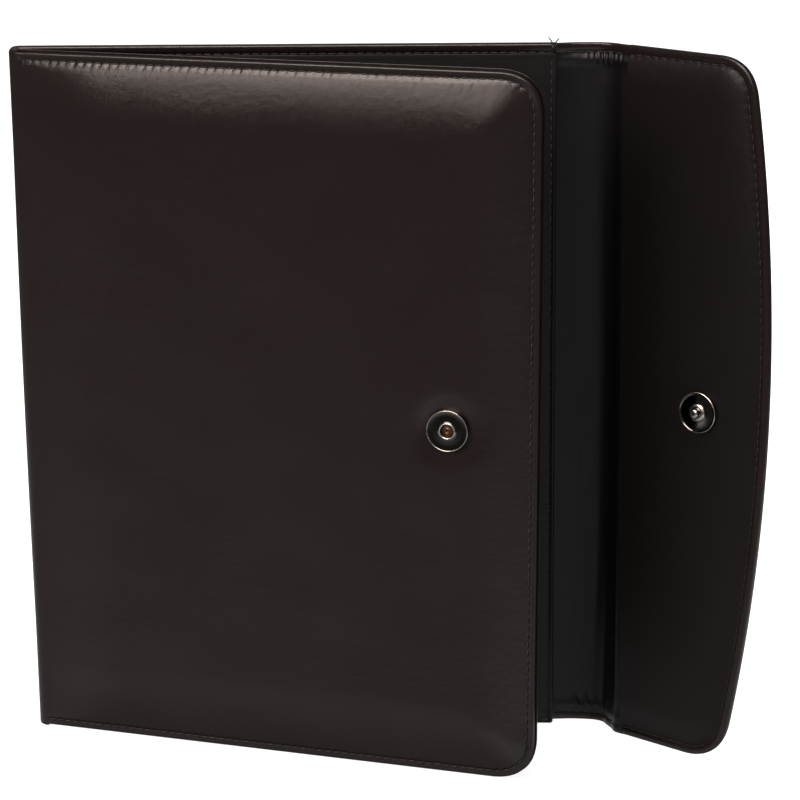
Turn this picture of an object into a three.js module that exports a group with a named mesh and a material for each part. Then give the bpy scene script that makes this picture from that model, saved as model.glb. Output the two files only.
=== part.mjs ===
// A leather document case with a snapped flap, standing half open on its lower edges.
// Millimetres. +X runs from the spine to the flap, +Y away from the reader and +Z up.

import * as THREE from 'three';

const { lerp, degToRad, clamp } = THREE.MathUtils;

// The whole case
const HEIGHT = 320;
const FRONT_WIDTH = 239.6; // front cover, spine corner to free edge
const BACK_WIDTH = 240.6; // back cover, spine corner to gusset
const SPINE_DEPTH = 12.5; // rim of the front cover to outside of the back cover
const OPEN_FOOT = degToRad(15.4); // angle between the covers, at their feet
const OPEN_TOP = degToRad(12.5); // and at their tops
const LEAN = 4; // how far the gusset side of the back cover leans back at its top
const CLEARANCE = 0.3;

// Front cover: foam and board, turned in leather
const FRONT_EDGE = 4.6; // thickness at the rim
const FRONT_PADDING = 3.4; // foam standing above the rim
const FRONT_RIM = 2.4; // width of the rounded rim
const FRONT_REACH = 34; // rim to full padding
const FRONT_CORNER = 17.5;

// Spine: one bent wall of leather
const SPINE_WALL = 2.2;
const SPINE_CORNER = 3.6;
const SPINE_LEG = 9; // how far it runs on to each cover

// Back cover: thin padding on a board
const BACK_EDGE = 4.2;
const BACK_PADDING = 1.6;
const BACK_RIM = 1.2;
const BACK_REACH = 26;
const BACK_CORNER = 1.5;

// Lined panel inside the back cover
const PANEL_THICKNESS = 4.6;
const PANEL_START = 16; // spine corner to the panel
const PANEL_DROP = 5; // top of the case to the top of the panel
const PANEL_RIM = 1.2;
const PANEL_PADDING = 0.6;
const PANEL_REACH = 12;
const PANEL_CORNER = 1.5;

// Gusset: soft leather between the back cover and the flap
const GUSSET_WALL = 2;
const GUSSET_SPREAD = 31.4; // back cover to flap fold, along the back cover
const FOLD_FORWARD_FOOT = 20.8; // the fold's distance in front of the back, at its foot
const FOLD_FORWARD_TOP = 9.5;
const GATHER_DEPTH = 0.7; // gathers in the hems at foot and top
const GATHER_PITCH = 5.2;
const GATHER_REACH = 10; // how far they run down from the hem

// The gusset's slack between its two ends: each row is one place along the straight line from
// the back cover to the fold, with the bulge behind that line at three heights, as shares of it
const GUSSET_SLACK = [
  { along: 0.22, foot: 0.13, middle: 0.15, top: 0.08 },
  { along: 0.45, foot: 0.226, middle: 0.27, top: 0.12 },
  { along: 0.6, foot: 0.235, middle: 0.3, top: 0.14 },
  { along: 0.7, foot: 0.17, middle: 0.28, top: 0.13 },
  { along: 0.8, foot: 0.1, middle: 0.21, top: 0.1 },
  { along: 0.9, foot: 0.045, middle: 0.11, top: 0.07 },
];

// Flap: a stiffened panel with a bowed outer edge
const FLAP_EDGE = 3.2;
const FLAP_FOOT_WIDTH = 53.4;
const FLAP_TOP_WIDTH = 60.8;
const FLAP_BOW = 16.2; // outer edge beyond the line between its corners
const FLAP_FOOT_CORNER = 16.5;
const FLAP_TOP_CORNER = 14;
const FLAP_ANGLE_FOOT = degToRad(37.1); // forward of the back cover's plane
const FLAP_ANGLE_TOP = degToRad(33.2);
const FLAP_PADDING = 1.2;
const FLAP_RIM = 1.1;
const FLAP_REACH = 16;

// Lining of the flap, inside its stitched hem
const LINING_THICKNESS = 1.2;
const LINING_PADDING = 0.5;
const LINING_MARGIN = 4.7; // flap edge to lining
const LINING_RIM = 0.5;
const LINING_REACH = 6;

// Magnetic snap: socket on the front cover, stud on the flap
const SNAP_RADIUS = 9.3;
const SNAP_INSET = 40; // socket centre to the cover's free edge, and stud centre to the flap's fold
const SNAP_RISE = 2; // above the middle of the case
const SNAP_RIM = 1.5; // height of the discs at their rims
const SNAP_FACE = 1.9; // height of the faces round the middle
const RING_RADIUS = 3.8; // raised ring of the socket
const RING_HEIGHT = 2.9;
const BORE_RADIUS = 2.4;
const RIVET_HEIGHT = 1.5;
const POST_HEIGHT = 4.6;

// Corners are bent curves: legs of this length fit an arc of radius 1
const ARC_TURN = 1.17;
const SHARPEST_CORNER = 0.6;

// How finely the curved forms are cut into facets
const SIDE_STEPS = 10;
const END_STEPS = 6;
const CORNER_STEPS = 5;
const BEND_STEPS = 5;
const GUSSET_COLUMNS = 28;
const ROUND_STEPS = 24;
const WALL_LEVELS = [0, 0.25, 0.5, 0.75, 1];
const GUSSET_LEVELS = [0, 0.016, 0.04, 0.08, 0.18, 0.34, 0.5, 0.66, 0.82, 0.92, 0.96, 0.984, 1];

/** Backward shift of a point of the back cover's side of the case. */
function leanAt(x, z) {
  return LEAN * (x / BACK_WIDTH) * (z / HEIGHT);
}

/** Angle of the front cover at a height. */
function openAt(z) {
  return lerp(OPEN_FOOT, OPEN_TOP, z / HEIGHT);
}

/** A point of the front cover: across it, up it, and out of its rim's plane. */
function onFront(across, z, out) {
  const angle = openAt(z);
  const x = across * Math.cos(angle) - out * Math.sin(angle);
  const y = -SPINE_DEPTH - across * Math.sin(angle) - out * Math.cos(angle);
  return new THREE.Vector3(x, y, z);
}

/** A point of the back cover: across it, up it, and out of its outer face. */
function onBack(across, z, out) {
  return new THREE.Vector3(across, out + leanAt(across, z), z);
}

/** A point of the inner panel, whose face looks at the reader. */
function onPanel(across, z, out) {
  return onBack(across, z, -BACK_EDGE - CLEARANCE - PANEL_THICKNESS - out);
}

/** The foot of the flap's inner face, where the gusset ends, at a height. */
function foldAt(z) {
  const x = BACK_WIDTH + GUSSET_SPREAD;
  const forward = lerp(FOLD_FORWARD_FOOT, FOLD_FORWARD_TOP, z / HEIGHT);
  return new THREE.Vector3(x, leanAt(x, z) - forward, z);
}

/** Angle of the flap at a height. */
function flapAngleAt(z) {
  return lerp(FLAP_ANGLE_FOOT, FLAP_ANGLE_TOP, z / HEIGHT);
}

/** A point of the flap: across it from the fold, up it, and behind its inner face. */
function behindFlap(across, z, behind) {
  const angle = flapAngleAt(z);
  const x = across * Math.cos(angle) + behind * Math.sin(angle);
  const y = -across * Math.sin(angle) + behind * Math.cos(angle);
  return foldAt(z).add(new THREE.Vector3(x, y, 0));
}

/** A point of the flap's leather: out of its outer face. */
function onFlap(across, z, out) {
  return behindFlap(across, z, FLAP_EDGE + out);
}

/** A point of the flap's lining, whose face looks at the reader. */
function onLining(across, z, out) {
  return behindFlap(across, z, -CLEARANCE - LINING_THICKNESS - out);
}

/** How far the flap's outer edge lies from its fold, at a height. */
function flapWidthAt(z) {
  const share = z / HEIGHT;
  return lerp(FLAP_FOOT_WIDTH, FLAP_TOP_WIDTH, share) + 4 * FLAP_BOW * share * (1 - share);
}

/** A closed mesh from points and triangles, with its faces turned outwards. */
function closedGeometry(points, triangles) {
  let volume = 0;
  for (const [a, b, c] of triangles) {
    volume += points[a].dot(new THREE.Vector3().crossVectors(points[b], points[c]));
  }
  const index = triangles.flatMap(([a, b, c]) => (volume > 0 ? [a, b, c] : [a, c, b]));
  const geometry = new THREE.BufferGeometry().setFromPoints(points);
  geometry.setIndex(index);
  geometry.computeVertexNormals();
  return geometry;
}

/** Triangles between two closed rows of points, which start at the given numbers. */
function band(lower, upper, count) {
  const triangles = [];
  for (let i = 0; i < count; i += 1) {
    const next = (i + 1) % count;
    triangles.push([lower + i, lower + next, upper + next]);
    triangles.push([lower + i, upper + next, upper + i]);
  }
  return triangles;
}

/** Evenly spaced points of a curve or line, without its last one. */
function openPoints(curve, steps) {
  return curve.getPoints(steps).slice(0, -1);
}

/**
 * Outline of a panel, drawn in by an inset: a straight side next to the spine or fold, level
 * foot and top, and a far side that may be bowed, with round corners at its ends.
 */
function panelOutline(panel, inset) {
  const near = panel.near + inset;
  const foot = panel.foot + inset;
  const top = panel.top - inset;
  const far = (z) => panel.farAt(z) - inset;
  const drawnIn = (corner) => Math.max(corner * Math.exp(-inset / corner), SHARPEST_CORNER);
  const [footCorner, topCorner] = panel.corners.map((corner) => ARC_TURN * drawnIn(corner));
  const point = (x, z) => new THREE.Vector2(x, z);
  const footTurn = point(far(foot) - footCorner, foot);
  const farFoot = point(far(foot + footCorner), foot + footCorner);
  const farTop = point(far(top - topCorner), top - topCorner);
  const topTurn = point(far(top) - topCorner, top);
  const side = [];
  for (let i = 0; i < SIDE_STEPS; i += 1) {
    const z = lerp(farFoot.y, farTop.y, i / SIDE_STEPS);
    side.push(point(far(z), z));
  }
  return [
    ...openPoints(new THREE.LineCurve(point(near, foot), footTurn), END_STEPS),
    ...openPoints(new THREE.QuadraticBezierCurve(footTurn, point(far(foot), foot), farFoot), CORNER_STEPS),
    ...side,
    ...openPoints(new THREE.QuadraticBezierCurve(farTop, point(far(top), top), topTurn), CORNER_STEPS),
    ...openPoints(new THREE.LineCurve(topTurn, point(near, top)), END_STEPS),
    ...openPoints(new THREE.LineCurve(point(near, top), point(near, foot)), SIDE_STEPS),
  ];
}

/** Inset and height of each ring of a padded panel, from the middle of its back to its front. */
function paddedRings({ thickness, rim, padding, reach, depth }) {
  const flat = [1, 0.5].map((share) => ({ inset: depth * share, out: -thickness }));
  const edge = [
    { inset: rim / 3, out: -thickness },
    { inset: 0, out: -0.85 * thickness },
    { inset: 0, out: -0.2 * thickness },
  ];
  const rise = [0, 0.12, 0.3, 0.6, 1].map((share) => {
    const inset = rim + reach * share;
    return { inset, out: padding * (1 - (1 - share) ** 2) };
  });
  const middle = rim + reach < 0.7 * depth ? [{ inset: (rim + reach + depth) / 2, out: padding }] : [];
  return [...flat, ...edge, ...rise, ...middle, { inset: depth, out: padding }];
}

/** A padded panel as a closed body: rings from the middle of one face round to the other. */
function panelGeometry(panel, place) {
  const rings = paddedRings(panel);
  const outlines = rings.map((ring) => panelOutline(panel, ring.inset));
  const count = outlines[0].length;
  const points = rings.flatMap((ring, k) => outlines[k].map((p) => place(p.x, p.y, ring.out)));
  const triangles = [];
  for (let k = 0; k + 1 < rings.length; k += 1) {
    triangles.push(...band(k * count, (k + 1) * count, count));
  }
  const lastRing = (rings.length - 1) * count;
  const backCap = THREE.ShapeUtils.triangulateShape(outlines[0], []);
  const frontCap = THREE.ShapeUtils.triangulateShape(outlines[rings.length - 1], []);
  triangles.push(...backCap.map(([a, b, c]) => [a, c, b]));
  triangles.push(...frontCap.map(([a, b, c]) => [lastRing + a, lastRing + b, lastRing + c]));
  return closedGeometry(points, triangles);
}

/** The path moved sideways by a distance, in plan; the left of its direction is positive. */
function movedPath(path, distance) {
  return path.map((point, i) => {
    const before = path[Math.max(i - 1, 0)];
    const after = path[Math.min(i + 1, path.length - 1)];
    const into = point.clone().sub(i > 0 ? before : point);
    const from = after.clone().sub(i + 1 < path.length ? point : after);
    const first = (i > 0 ? into : from).normalize();
    const second = (i + 1 < path.length ? from : into).normalize();
    const direction = first.clone().add(second).normalize();
    const stretch = 1 / clamp(direction.dot(first), 0.5, 1);
    return new THREE.Vector2(-direction.y, direction.x).multiplyScalar(distance * stretch).add(point);
  });
}

/**
 * A bent upright wall: its face in plan at each height, thickened to its other side. Where the
 * wall's ends meet pieces at an angle, endsAt gives the direction of its thickness there.
 */
function wallGeometry(pathAt, levels, thickness, endsAt) {
  const sections = levels.map((share) => {
    const z = share * HEIGHT;
    const face = pathAt(z);
    const otherFace = movedPath(face, thickness);
    if (endsAt) {
      const [first, last] = endsAt(z);
      otherFace[0] = first.clone().setLength(thickness).add(face[0]);
      otherFace[face.length - 1] = last.clone().setLength(thickness).add(face[face.length - 1]);
    }
    return [...face, ...otherFace.reverse()];
  });
  const count = sections[0].length;
  const points = sections.flatMap((section, k) => {
    const z = levels[k] * HEIGHT;
    return section.map((p) => new THREE.Vector3(p.x, p.y, z));
  });
  const triangles = [];
  for (let k = 0; k + 1 < levels.length; k += 1) {
    triangles.push(...band(k * count, (k + 1) * count, count));
  }
  const half = count / 2;
  const last = (levels.length - 1) * count;
  for (let i = 0; i + 1 < half; i += 1) {
    const [a, b, c, d] = [i, i + 1, count - 2 - i, count - 1 - i];
    triangles.push([a, c, b], [a, d, c]);
    triangles.push([last + a, last + b, last + c], [last + a, last + c, last + d]);
  }
  return closedGeometry(points, triangles);
}

/** The spine's outside in plan, from the front cover round its two corners to the back cover. */
function spinePath(z) {
  const inPlan = (p) => new THREE.Vector2(p.x, p.y);
  const turn = ARC_TURN * SPINE_CORNER;
  const frontCorner = new THREE.Vector2(0, -SPINE_DEPTH);
  const backCorner = new THREE.Vector2(0, 0);
  const frontBend = new THREE.QuadraticBezierCurve(
    inPlan(onFront(turn, z, 0)), frontCorner, new THREE.Vector2(0, -SPINE_DEPTH + turn));
  const backBend = new THREE.QuadraticBezierCurve(
    new THREE.Vector2(0, -turn), backCorner, inPlan(onBack(turn, z, 0)));
  return [
    inPlan(onFront(SPINE_LEG, z, 0)),
    ...frontBend.getPoints(BEND_STEPS),
    ...backBend.getPoints(BEND_STEPS),
    inPlan(onBack(SPINE_LEG, z, 0)),
  ];
}

/** A value given at foot, middle and top of the case, on one smooth curve between them. */
function alongHeight({ foot, middle, top }, z) {
  const share = z / HEIGHT;
  const bow = 4 * (middle - (foot + top) / 2);
  return lerp(foot, top, share) + bow * share * (1 - share);
}

/** Depth of the hems' gathers at a height. */
function gatherAt(z) {
  return GATHER_DEPTH * (Math.exp(-z / GATHER_REACH) + Math.exp((z - HEIGHT) / GATHER_REACH));
}

/** The gusset's face in plan, from the back cover to the flap's fold, with its gathers. */
function gussetPath(z) {
  const seam = onBack(BACK_WIDTH + CLEARANCE, z, -BACK_EDGE + CLEARANCE);
  const fold = behindFlap(-CLEARANCE, z, 0);
  const start = new THREE.Vector2(seam.x, seam.y);
  const end = new THREE.Vector2(fold.x, fold.y);
  const span = end.clone().sub(start);
  const behind = new THREE.Vector2(-span.y, span.x);
  const slack = GUSSET_SLACK.map((row) => {
    const bulge = alongHeight(row, z);
    return start.clone().addScaledVector(span, row.along).addScaledVector(behind, bulge);
  });
  const curve = new THREE.SplineCurve([start, ...slack, end]);
  const length = curve.getLength();
  const waves = Math.round(length / GATHER_PITCH);
  const points = curve.getSpacedPoints(GUSSET_COLUMNS);
  return points.map((point, i) => {
    const share = i / GUSSET_COLUMNS;
    const wave = gatherAt(z) * Math.sin(2 * Math.PI * waves * share) * Math.sin(Math.PI * share);
    return point.add(behind.clone().setLength(1).multiplyScalar(wave));
  });
}

/** Which way the gusset's thickness runs where it meets the back cover and the flap. */
function gussetEnds(z) {
  const angle = flapAngleAt(z);
  return [new THREE.Vector2(0, 1), new THREE.Vector2(Math.sin(angle), Math.cos(angle))];
}

/** A turned metal piece: radius and height of each point of its half section. */
function turnedGeometry(profile) {
  const halfSection = profile.map(([radius, height]) => new THREE.Vector2(radius, height));
  return new THREE.LatheGeometry(halfSection, ROUND_STEPS);
}

/** Sets a turned piece on a surface, with its axis square to it. */
function seatOn(mesh, place, across, z, out) {
  const middle = place(across, z, out);
  const side = place(across + 1, z, out).sub(middle);
  const up = place(across, z + 1, out).sub(middle);
  const outward = place(across, z, out + 1).sub(middle);
  const normal = new THREE.Vector3().crossVectors(side, up).normalize();
  if (normal.dot(outward) < 0) {
    normal.negate();
  }
  mesh.quaternion.setFromUnitVectors(new THREE.Vector3(0, 1, 0), normal);
  mesh.position.copy(middle);
}

const leather = new THREE.MeshStandardMaterial({ color: 0x2b2524, roughness: 0.42, metalness: 0 });
const lining = new THREE.MeshStandardMaterial({ color: 0x1f1b1c, roughness: 0.55, metalness: 0 });
const softLeather = new THREE.MeshStandardMaterial({ color: 0x1c1b1e, roughness: 0.5, metalness: 0 });
const darkChrome = new THREE.MeshStandardMaterial({ color: 0x4a4644, roughness: 0.18, metalness: 1 });
const rivetMetal = new THREE.MeshStandardMaterial({ color: 0x8a6f5c, roughness: 0.35, metalness: 1 });

const documentCase = new THREE.Group();

/** Adds a named piece to the case. */
function addPiece(name, geometry, material) {
  const mesh = new THREE.Mesh(geometry, material);
  mesh.name = name;
  documentCase.add(mesh);
  return mesh;
}

const frontPanel = {
  near: SPINE_LEG + CLEARANCE,
  foot: 0,
  top: HEIGHT,
  farAt: () => FRONT_WIDTH,
  corners: [FRONT_CORNER, FRONT_CORNER],
  thickness: FRONT_EDGE,
  rim: FRONT_RIM,
  padding: FRONT_PADDING,
  reach: FRONT_REACH,
  depth: 0.42 * FRONT_WIDTH,
};

const backPanel = {
  near: SPINE_LEG + CLEARANCE,
  foot: 0,
  top: HEIGHT,
  farAt: () => BACK_WIDTH,
  corners: [BACK_CORNER, BACK_CORNER],
  thickness: BACK_EDGE,
  rim: BACK_RIM,
  padding: BACK_PADDING,
  reach: BACK_REACH,
  depth: 0.42 * BACK_WIDTH,
};

const innerPanel = {
  near: PANEL_START,
  foot: 0,
  top: HEIGHT - PANEL_DROP,
  farAt: () => BACK_WIDTH,
  corners: [PANEL_CORNER, PANEL_CORNER],
  thickness: PANEL_THICKNESS,
  rim: PANEL_RIM,
  padding: PANEL_PADDING,
  reach: PANEL_REACH,
  depth: 0.42 * BACK_WIDTH,
};

const flapPanel = {
  near: 0,
  foot: 0,
  top: HEIGHT,
  farAt: flapWidthAt,
  corners: [FLAP_FOOT_CORNER, FLAP_TOP_CORNER],
  thickness: FLAP_EDGE,
  rim: FLAP_RIM,
  padding: FLAP_PADDING,
  reach: FLAP_REACH,
  depth: 0.4 * FLAP_FOOT_WIDTH,
};

const flapLining = {
  near: LINING_MARGIN / 2,
  foot: LINING_MARGIN,
  top: HEIGHT - LINING_MARGIN,
  farAt: (z) => flapWidthAt(z) - LINING_MARGIN,
  corners: [FLAP_FOOT_CORNER - LINING_MARGIN, FLAP_TOP_CORNER - LINING_MARGIN],
  thickness: LINING_THICKNESS,
  rim: LINING_RIM,
  padding: LINING_PADDING,
  reach: LINING_REACH,
  depth: 0.35 * FLAP_FOOT_WIDTH,
};

addPiece('front_cover', panelGeometry(frontPanel, onFront), leather);
addPiece('spine', wallGeometry(spinePath, WALL_LEVELS, -SPINE_WALL), leather);
addPiece('back_cover', panelGeometry(backPanel, onBack), leather);
addPiece('inner_panel', panelGeometry(innerPanel, onPanel), lining);
addPiece('gusset', wallGeometry(gussetPath, GUSSET_LEVELS, GUSSET_WALL, gussetEnds), softLeather);
addPiece('flap', panelGeometry(flapPanel, onFlap), leather);
addPiece('flap_lining', panelGeometry(flapLining, onLining), lining);

const snapZ = HEIGHT / 2 + SNAP_RISE;
const socketAcross = FRONT_WIDTH - SNAP_INSET;
const edgeRadius = SNAP_RADIUS - CLEARANCE;
const postRadius = BORE_RADIUS - CLEARANCE;

const socket = addPiece('snap_socket', turnedGeometry([
  [BORE_RADIUS, 0],
  [edgeRadius, 0],
  [SNAP_RADIUS, SNAP_RIM / 4],
  [SNAP_RADIUS, 0.8 * SNAP_RIM],
  [edgeRadius, SNAP_RIM],
  [0.92 * SNAP_RADIUS, 0.9 * SNAP_RIM],
  [1.12 * RING_RADIUS, SNAP_FACE],
  [RING_RADIUS, 0.9 * RING_HEIGHT],
  [0.85 * RING_RADIUS, RING_HEIGHT],
  [BORE_RADIUS, 0.9 * RING_HEIGHT],
  [BORE_RADIUS, 0],
]), darkChrome);
seatOn(socket, onFront, socketAcross, snapZ, FRONT_PADDING + CLEARANCE);

const rivet = addPiece('snap_rivet', turnedGeometry([
  [0, 0],
  [postRadius, 0],
  [postRadius, 0.7 * RIVET_HEIGHT],
  [0.7 * postRadius, 0.95 * RIVET_HEIGHT],
  [0, RIVET_HEIGHT],
]), rivetMetal);
seatOn(rivet, onFront, socketAcross, snapZ, FRONT_PADDING + CLEARANCE);

const stud = addPiece('snap_stud', turnedGeometry([
  [0, 0],
  [edgeRadius, 0],
  [SNAP_RADIUS, SNAP_RIM / 4],
  [SNAP_RADIUS, 0.8 * SNAP_RIM],
  [edgeRadius, SNAP_RIM],
  [1.6 * postRadius, SNAP_FACE],
  [postRadius, 1.1 * SNAP_FACE],
  [postRadius, 0.88 * POST_HEIGHT],
  [0.75 * postRadius, POST_HEIGHT],
  [0, POST_HEIGHT],
]), darkChrome);
seatOn(stud, onLining, SNAP_INSET, snapZ, LINING_PADDING + CLEARANCE);

// The origin is under the middle of the case, on the surface it stands on
const bounds = new THREE.Box3().setFromObject(documentCase, true);
const middle = bounds.getCenter(new THREE.Vector3());
documentCase.position.set(-middle.x, -middle.y, -bounds.min.z);

export default documentCase;
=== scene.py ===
"""A leather document case with a snapped flap, standing half open on its lower edges.

Lengths are in millimetres, as on a maker's pattern, until CasePlan turns them into metres of
the shared frame. The leather is shaped in mesh code, ring by ring from its stitched edges, and
the metal snap is modelled in edit mode.
"""

import logging
import math
import random
from collections.abc import Callable, Sequence
from dataclasses import dataclass
from enum import Enum
from typing import ClassVar

import bmesh
import bpy
import numpy as np
from mathutils import Matrix, Vector


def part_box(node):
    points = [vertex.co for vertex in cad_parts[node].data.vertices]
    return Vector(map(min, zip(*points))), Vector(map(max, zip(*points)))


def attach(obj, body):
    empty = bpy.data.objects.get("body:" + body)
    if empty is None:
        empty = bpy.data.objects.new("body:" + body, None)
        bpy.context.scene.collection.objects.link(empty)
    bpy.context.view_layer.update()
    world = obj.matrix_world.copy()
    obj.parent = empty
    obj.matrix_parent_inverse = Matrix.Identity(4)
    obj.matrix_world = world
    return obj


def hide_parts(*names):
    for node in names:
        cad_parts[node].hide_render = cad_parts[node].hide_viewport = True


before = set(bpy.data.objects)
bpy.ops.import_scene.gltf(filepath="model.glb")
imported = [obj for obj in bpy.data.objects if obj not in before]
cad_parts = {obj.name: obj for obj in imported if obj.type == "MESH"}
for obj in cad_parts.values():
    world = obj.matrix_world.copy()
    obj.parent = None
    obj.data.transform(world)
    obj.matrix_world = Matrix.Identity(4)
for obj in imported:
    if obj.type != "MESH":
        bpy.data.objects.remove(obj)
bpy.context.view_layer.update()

LOG = logging.getLogger("document_case")
MILLI = 0.001
BODY = "root"
# Leg of a quadratic bend that looks like an arc, as a share of the arc's radius
ARC_TURN = 1.17
# Distance of most seams from their edge, and length of a stitch in the hems
SEAM_INSET = 4.0
HEM_PITCH = 4.2
# How far the gusset runs straight on from the flap
FLAP_RUN = 3.6

# Puts places across, up and out of a surface in the frame
Place = Callable[[np.ndarray, np.ndarray, np.ndarray], np.ndarray]


class Finish(Enum):
    """The record's material slots."""

    OUTER = "outer_leather"
    LINING = "lining_leather"
    SOFT = "soft_leather"
    CHROME = "dark_chrome"
    RIVET = "rivet_metal"


def eased(low: float, high: float, value: np.ndarray) -> np.ndarray:
    """Smooth rise from 0 at low to 1 at high."""
    share = np.clip((value - low) / (high - low), 0.0, 1.0)
    return share * share * (3.0 - 2.0 * share)


def mixed(first: np.ndarray, second: np.ndarray, share: np.ndarray) -> np.ndarray:
    """Value between first and second."""
    return first + (second - first) * share


def ripple(along: np.ndarray, up: np.ndarray, length: float, seed: int) -> np.ndarray:
    """Soft random unevenness between about -1 and 1.

    Args:
        along: place across the piece.
        up: place up the piece.
        length: typical distance between two rises.
        seed: number that picks the pattern.

    Returns:
        The unevenness at each place.
    """
    draw, waves = random.Random(seed), 9
    total = np.zeros(np.broadcast(along, up).shape)
    for _ in range(waves):
        turn, phase = draw.uniform(0, math.tau), draw.uniform(0, math.tau)
        wave = math.tau / (length * draw.uniform(0.7, 1.9))
        total += np.sin(wave * (along * math.cos(turn) + up * math.sin(turn)) + phase)
    return total / (waves / 2)


def flipped(place: Place, thickness: float = 0.0) -> Place:
    """Place function of the other side of a surface, where out points the other way."""
    return lambda across, up, out: place(across, up, -thickness - out)


@dataclass(frozen=True)
class CaseSizes:
    """Sizes of the case, the same as its solids have."""

    height: float = 320.0
    front_width: float = 239.6
    back_width: float = 240.6
    spine_depth: float = 12.5
    open_foot: float = math.radians(15.4)
    open_top: float = math.radians(12.5)
    lean: float = 4.0
    gap: float = 0.3
    front_padding: float = 3.4
    front_corner: float = 17.5
    spine_wall: float = 2.2
    spine_corner: float = 3.6
    spine_leg: float = 9.0
    back_edge: float = 4.2
    back_padding: float = 1.6
    panel_thickness: float = 4.6
    panel_start: float = 16.0
    gusset_wall: float = 2.0
    gusset_spread: float = 31.4
    fold_forward_foot: float = 20.8
    fold_forward_top: float = 9.5
    flap_edge: float = 3.2
    flap_foot_width: float = 53.4
    flap_top_width: float = 60.8
    flap_bow: float = 16.2
    flap_foot_corner: float = 16.5
    flap_top_corner: float = 14.0
    flap_angle_foot: float = math.radians(37.1)
    flap_angle_top: float = math.radians(33.2)
    flap_padding: float = 1.2
    lining_thickness: float = 1.2
    lining_padding: float = 0.5
    snap_inset: float = 40.0
    snap_rise: float = 2.0

    @property
    def spine_bend(self) -> float:
        """Distance from the spine's corner at which its bend meets a cover."""
        return ARC_TURN * self.spine_corner


# The gusset's slack: place along its span, and bulge at foot, middle and top, in shares of it
GUSSET_SLACK = (
    (0.22, 0.13, 0.15, 0.08),
    (0.45, 0.226, 0.27, 0.12),
    (0.6, 0.235, 0.3, 0.14),
    (0.7, 0.17, 0.28, 0.13),
    (0.8, 0.1, 0.21, 0.1),
)


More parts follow.
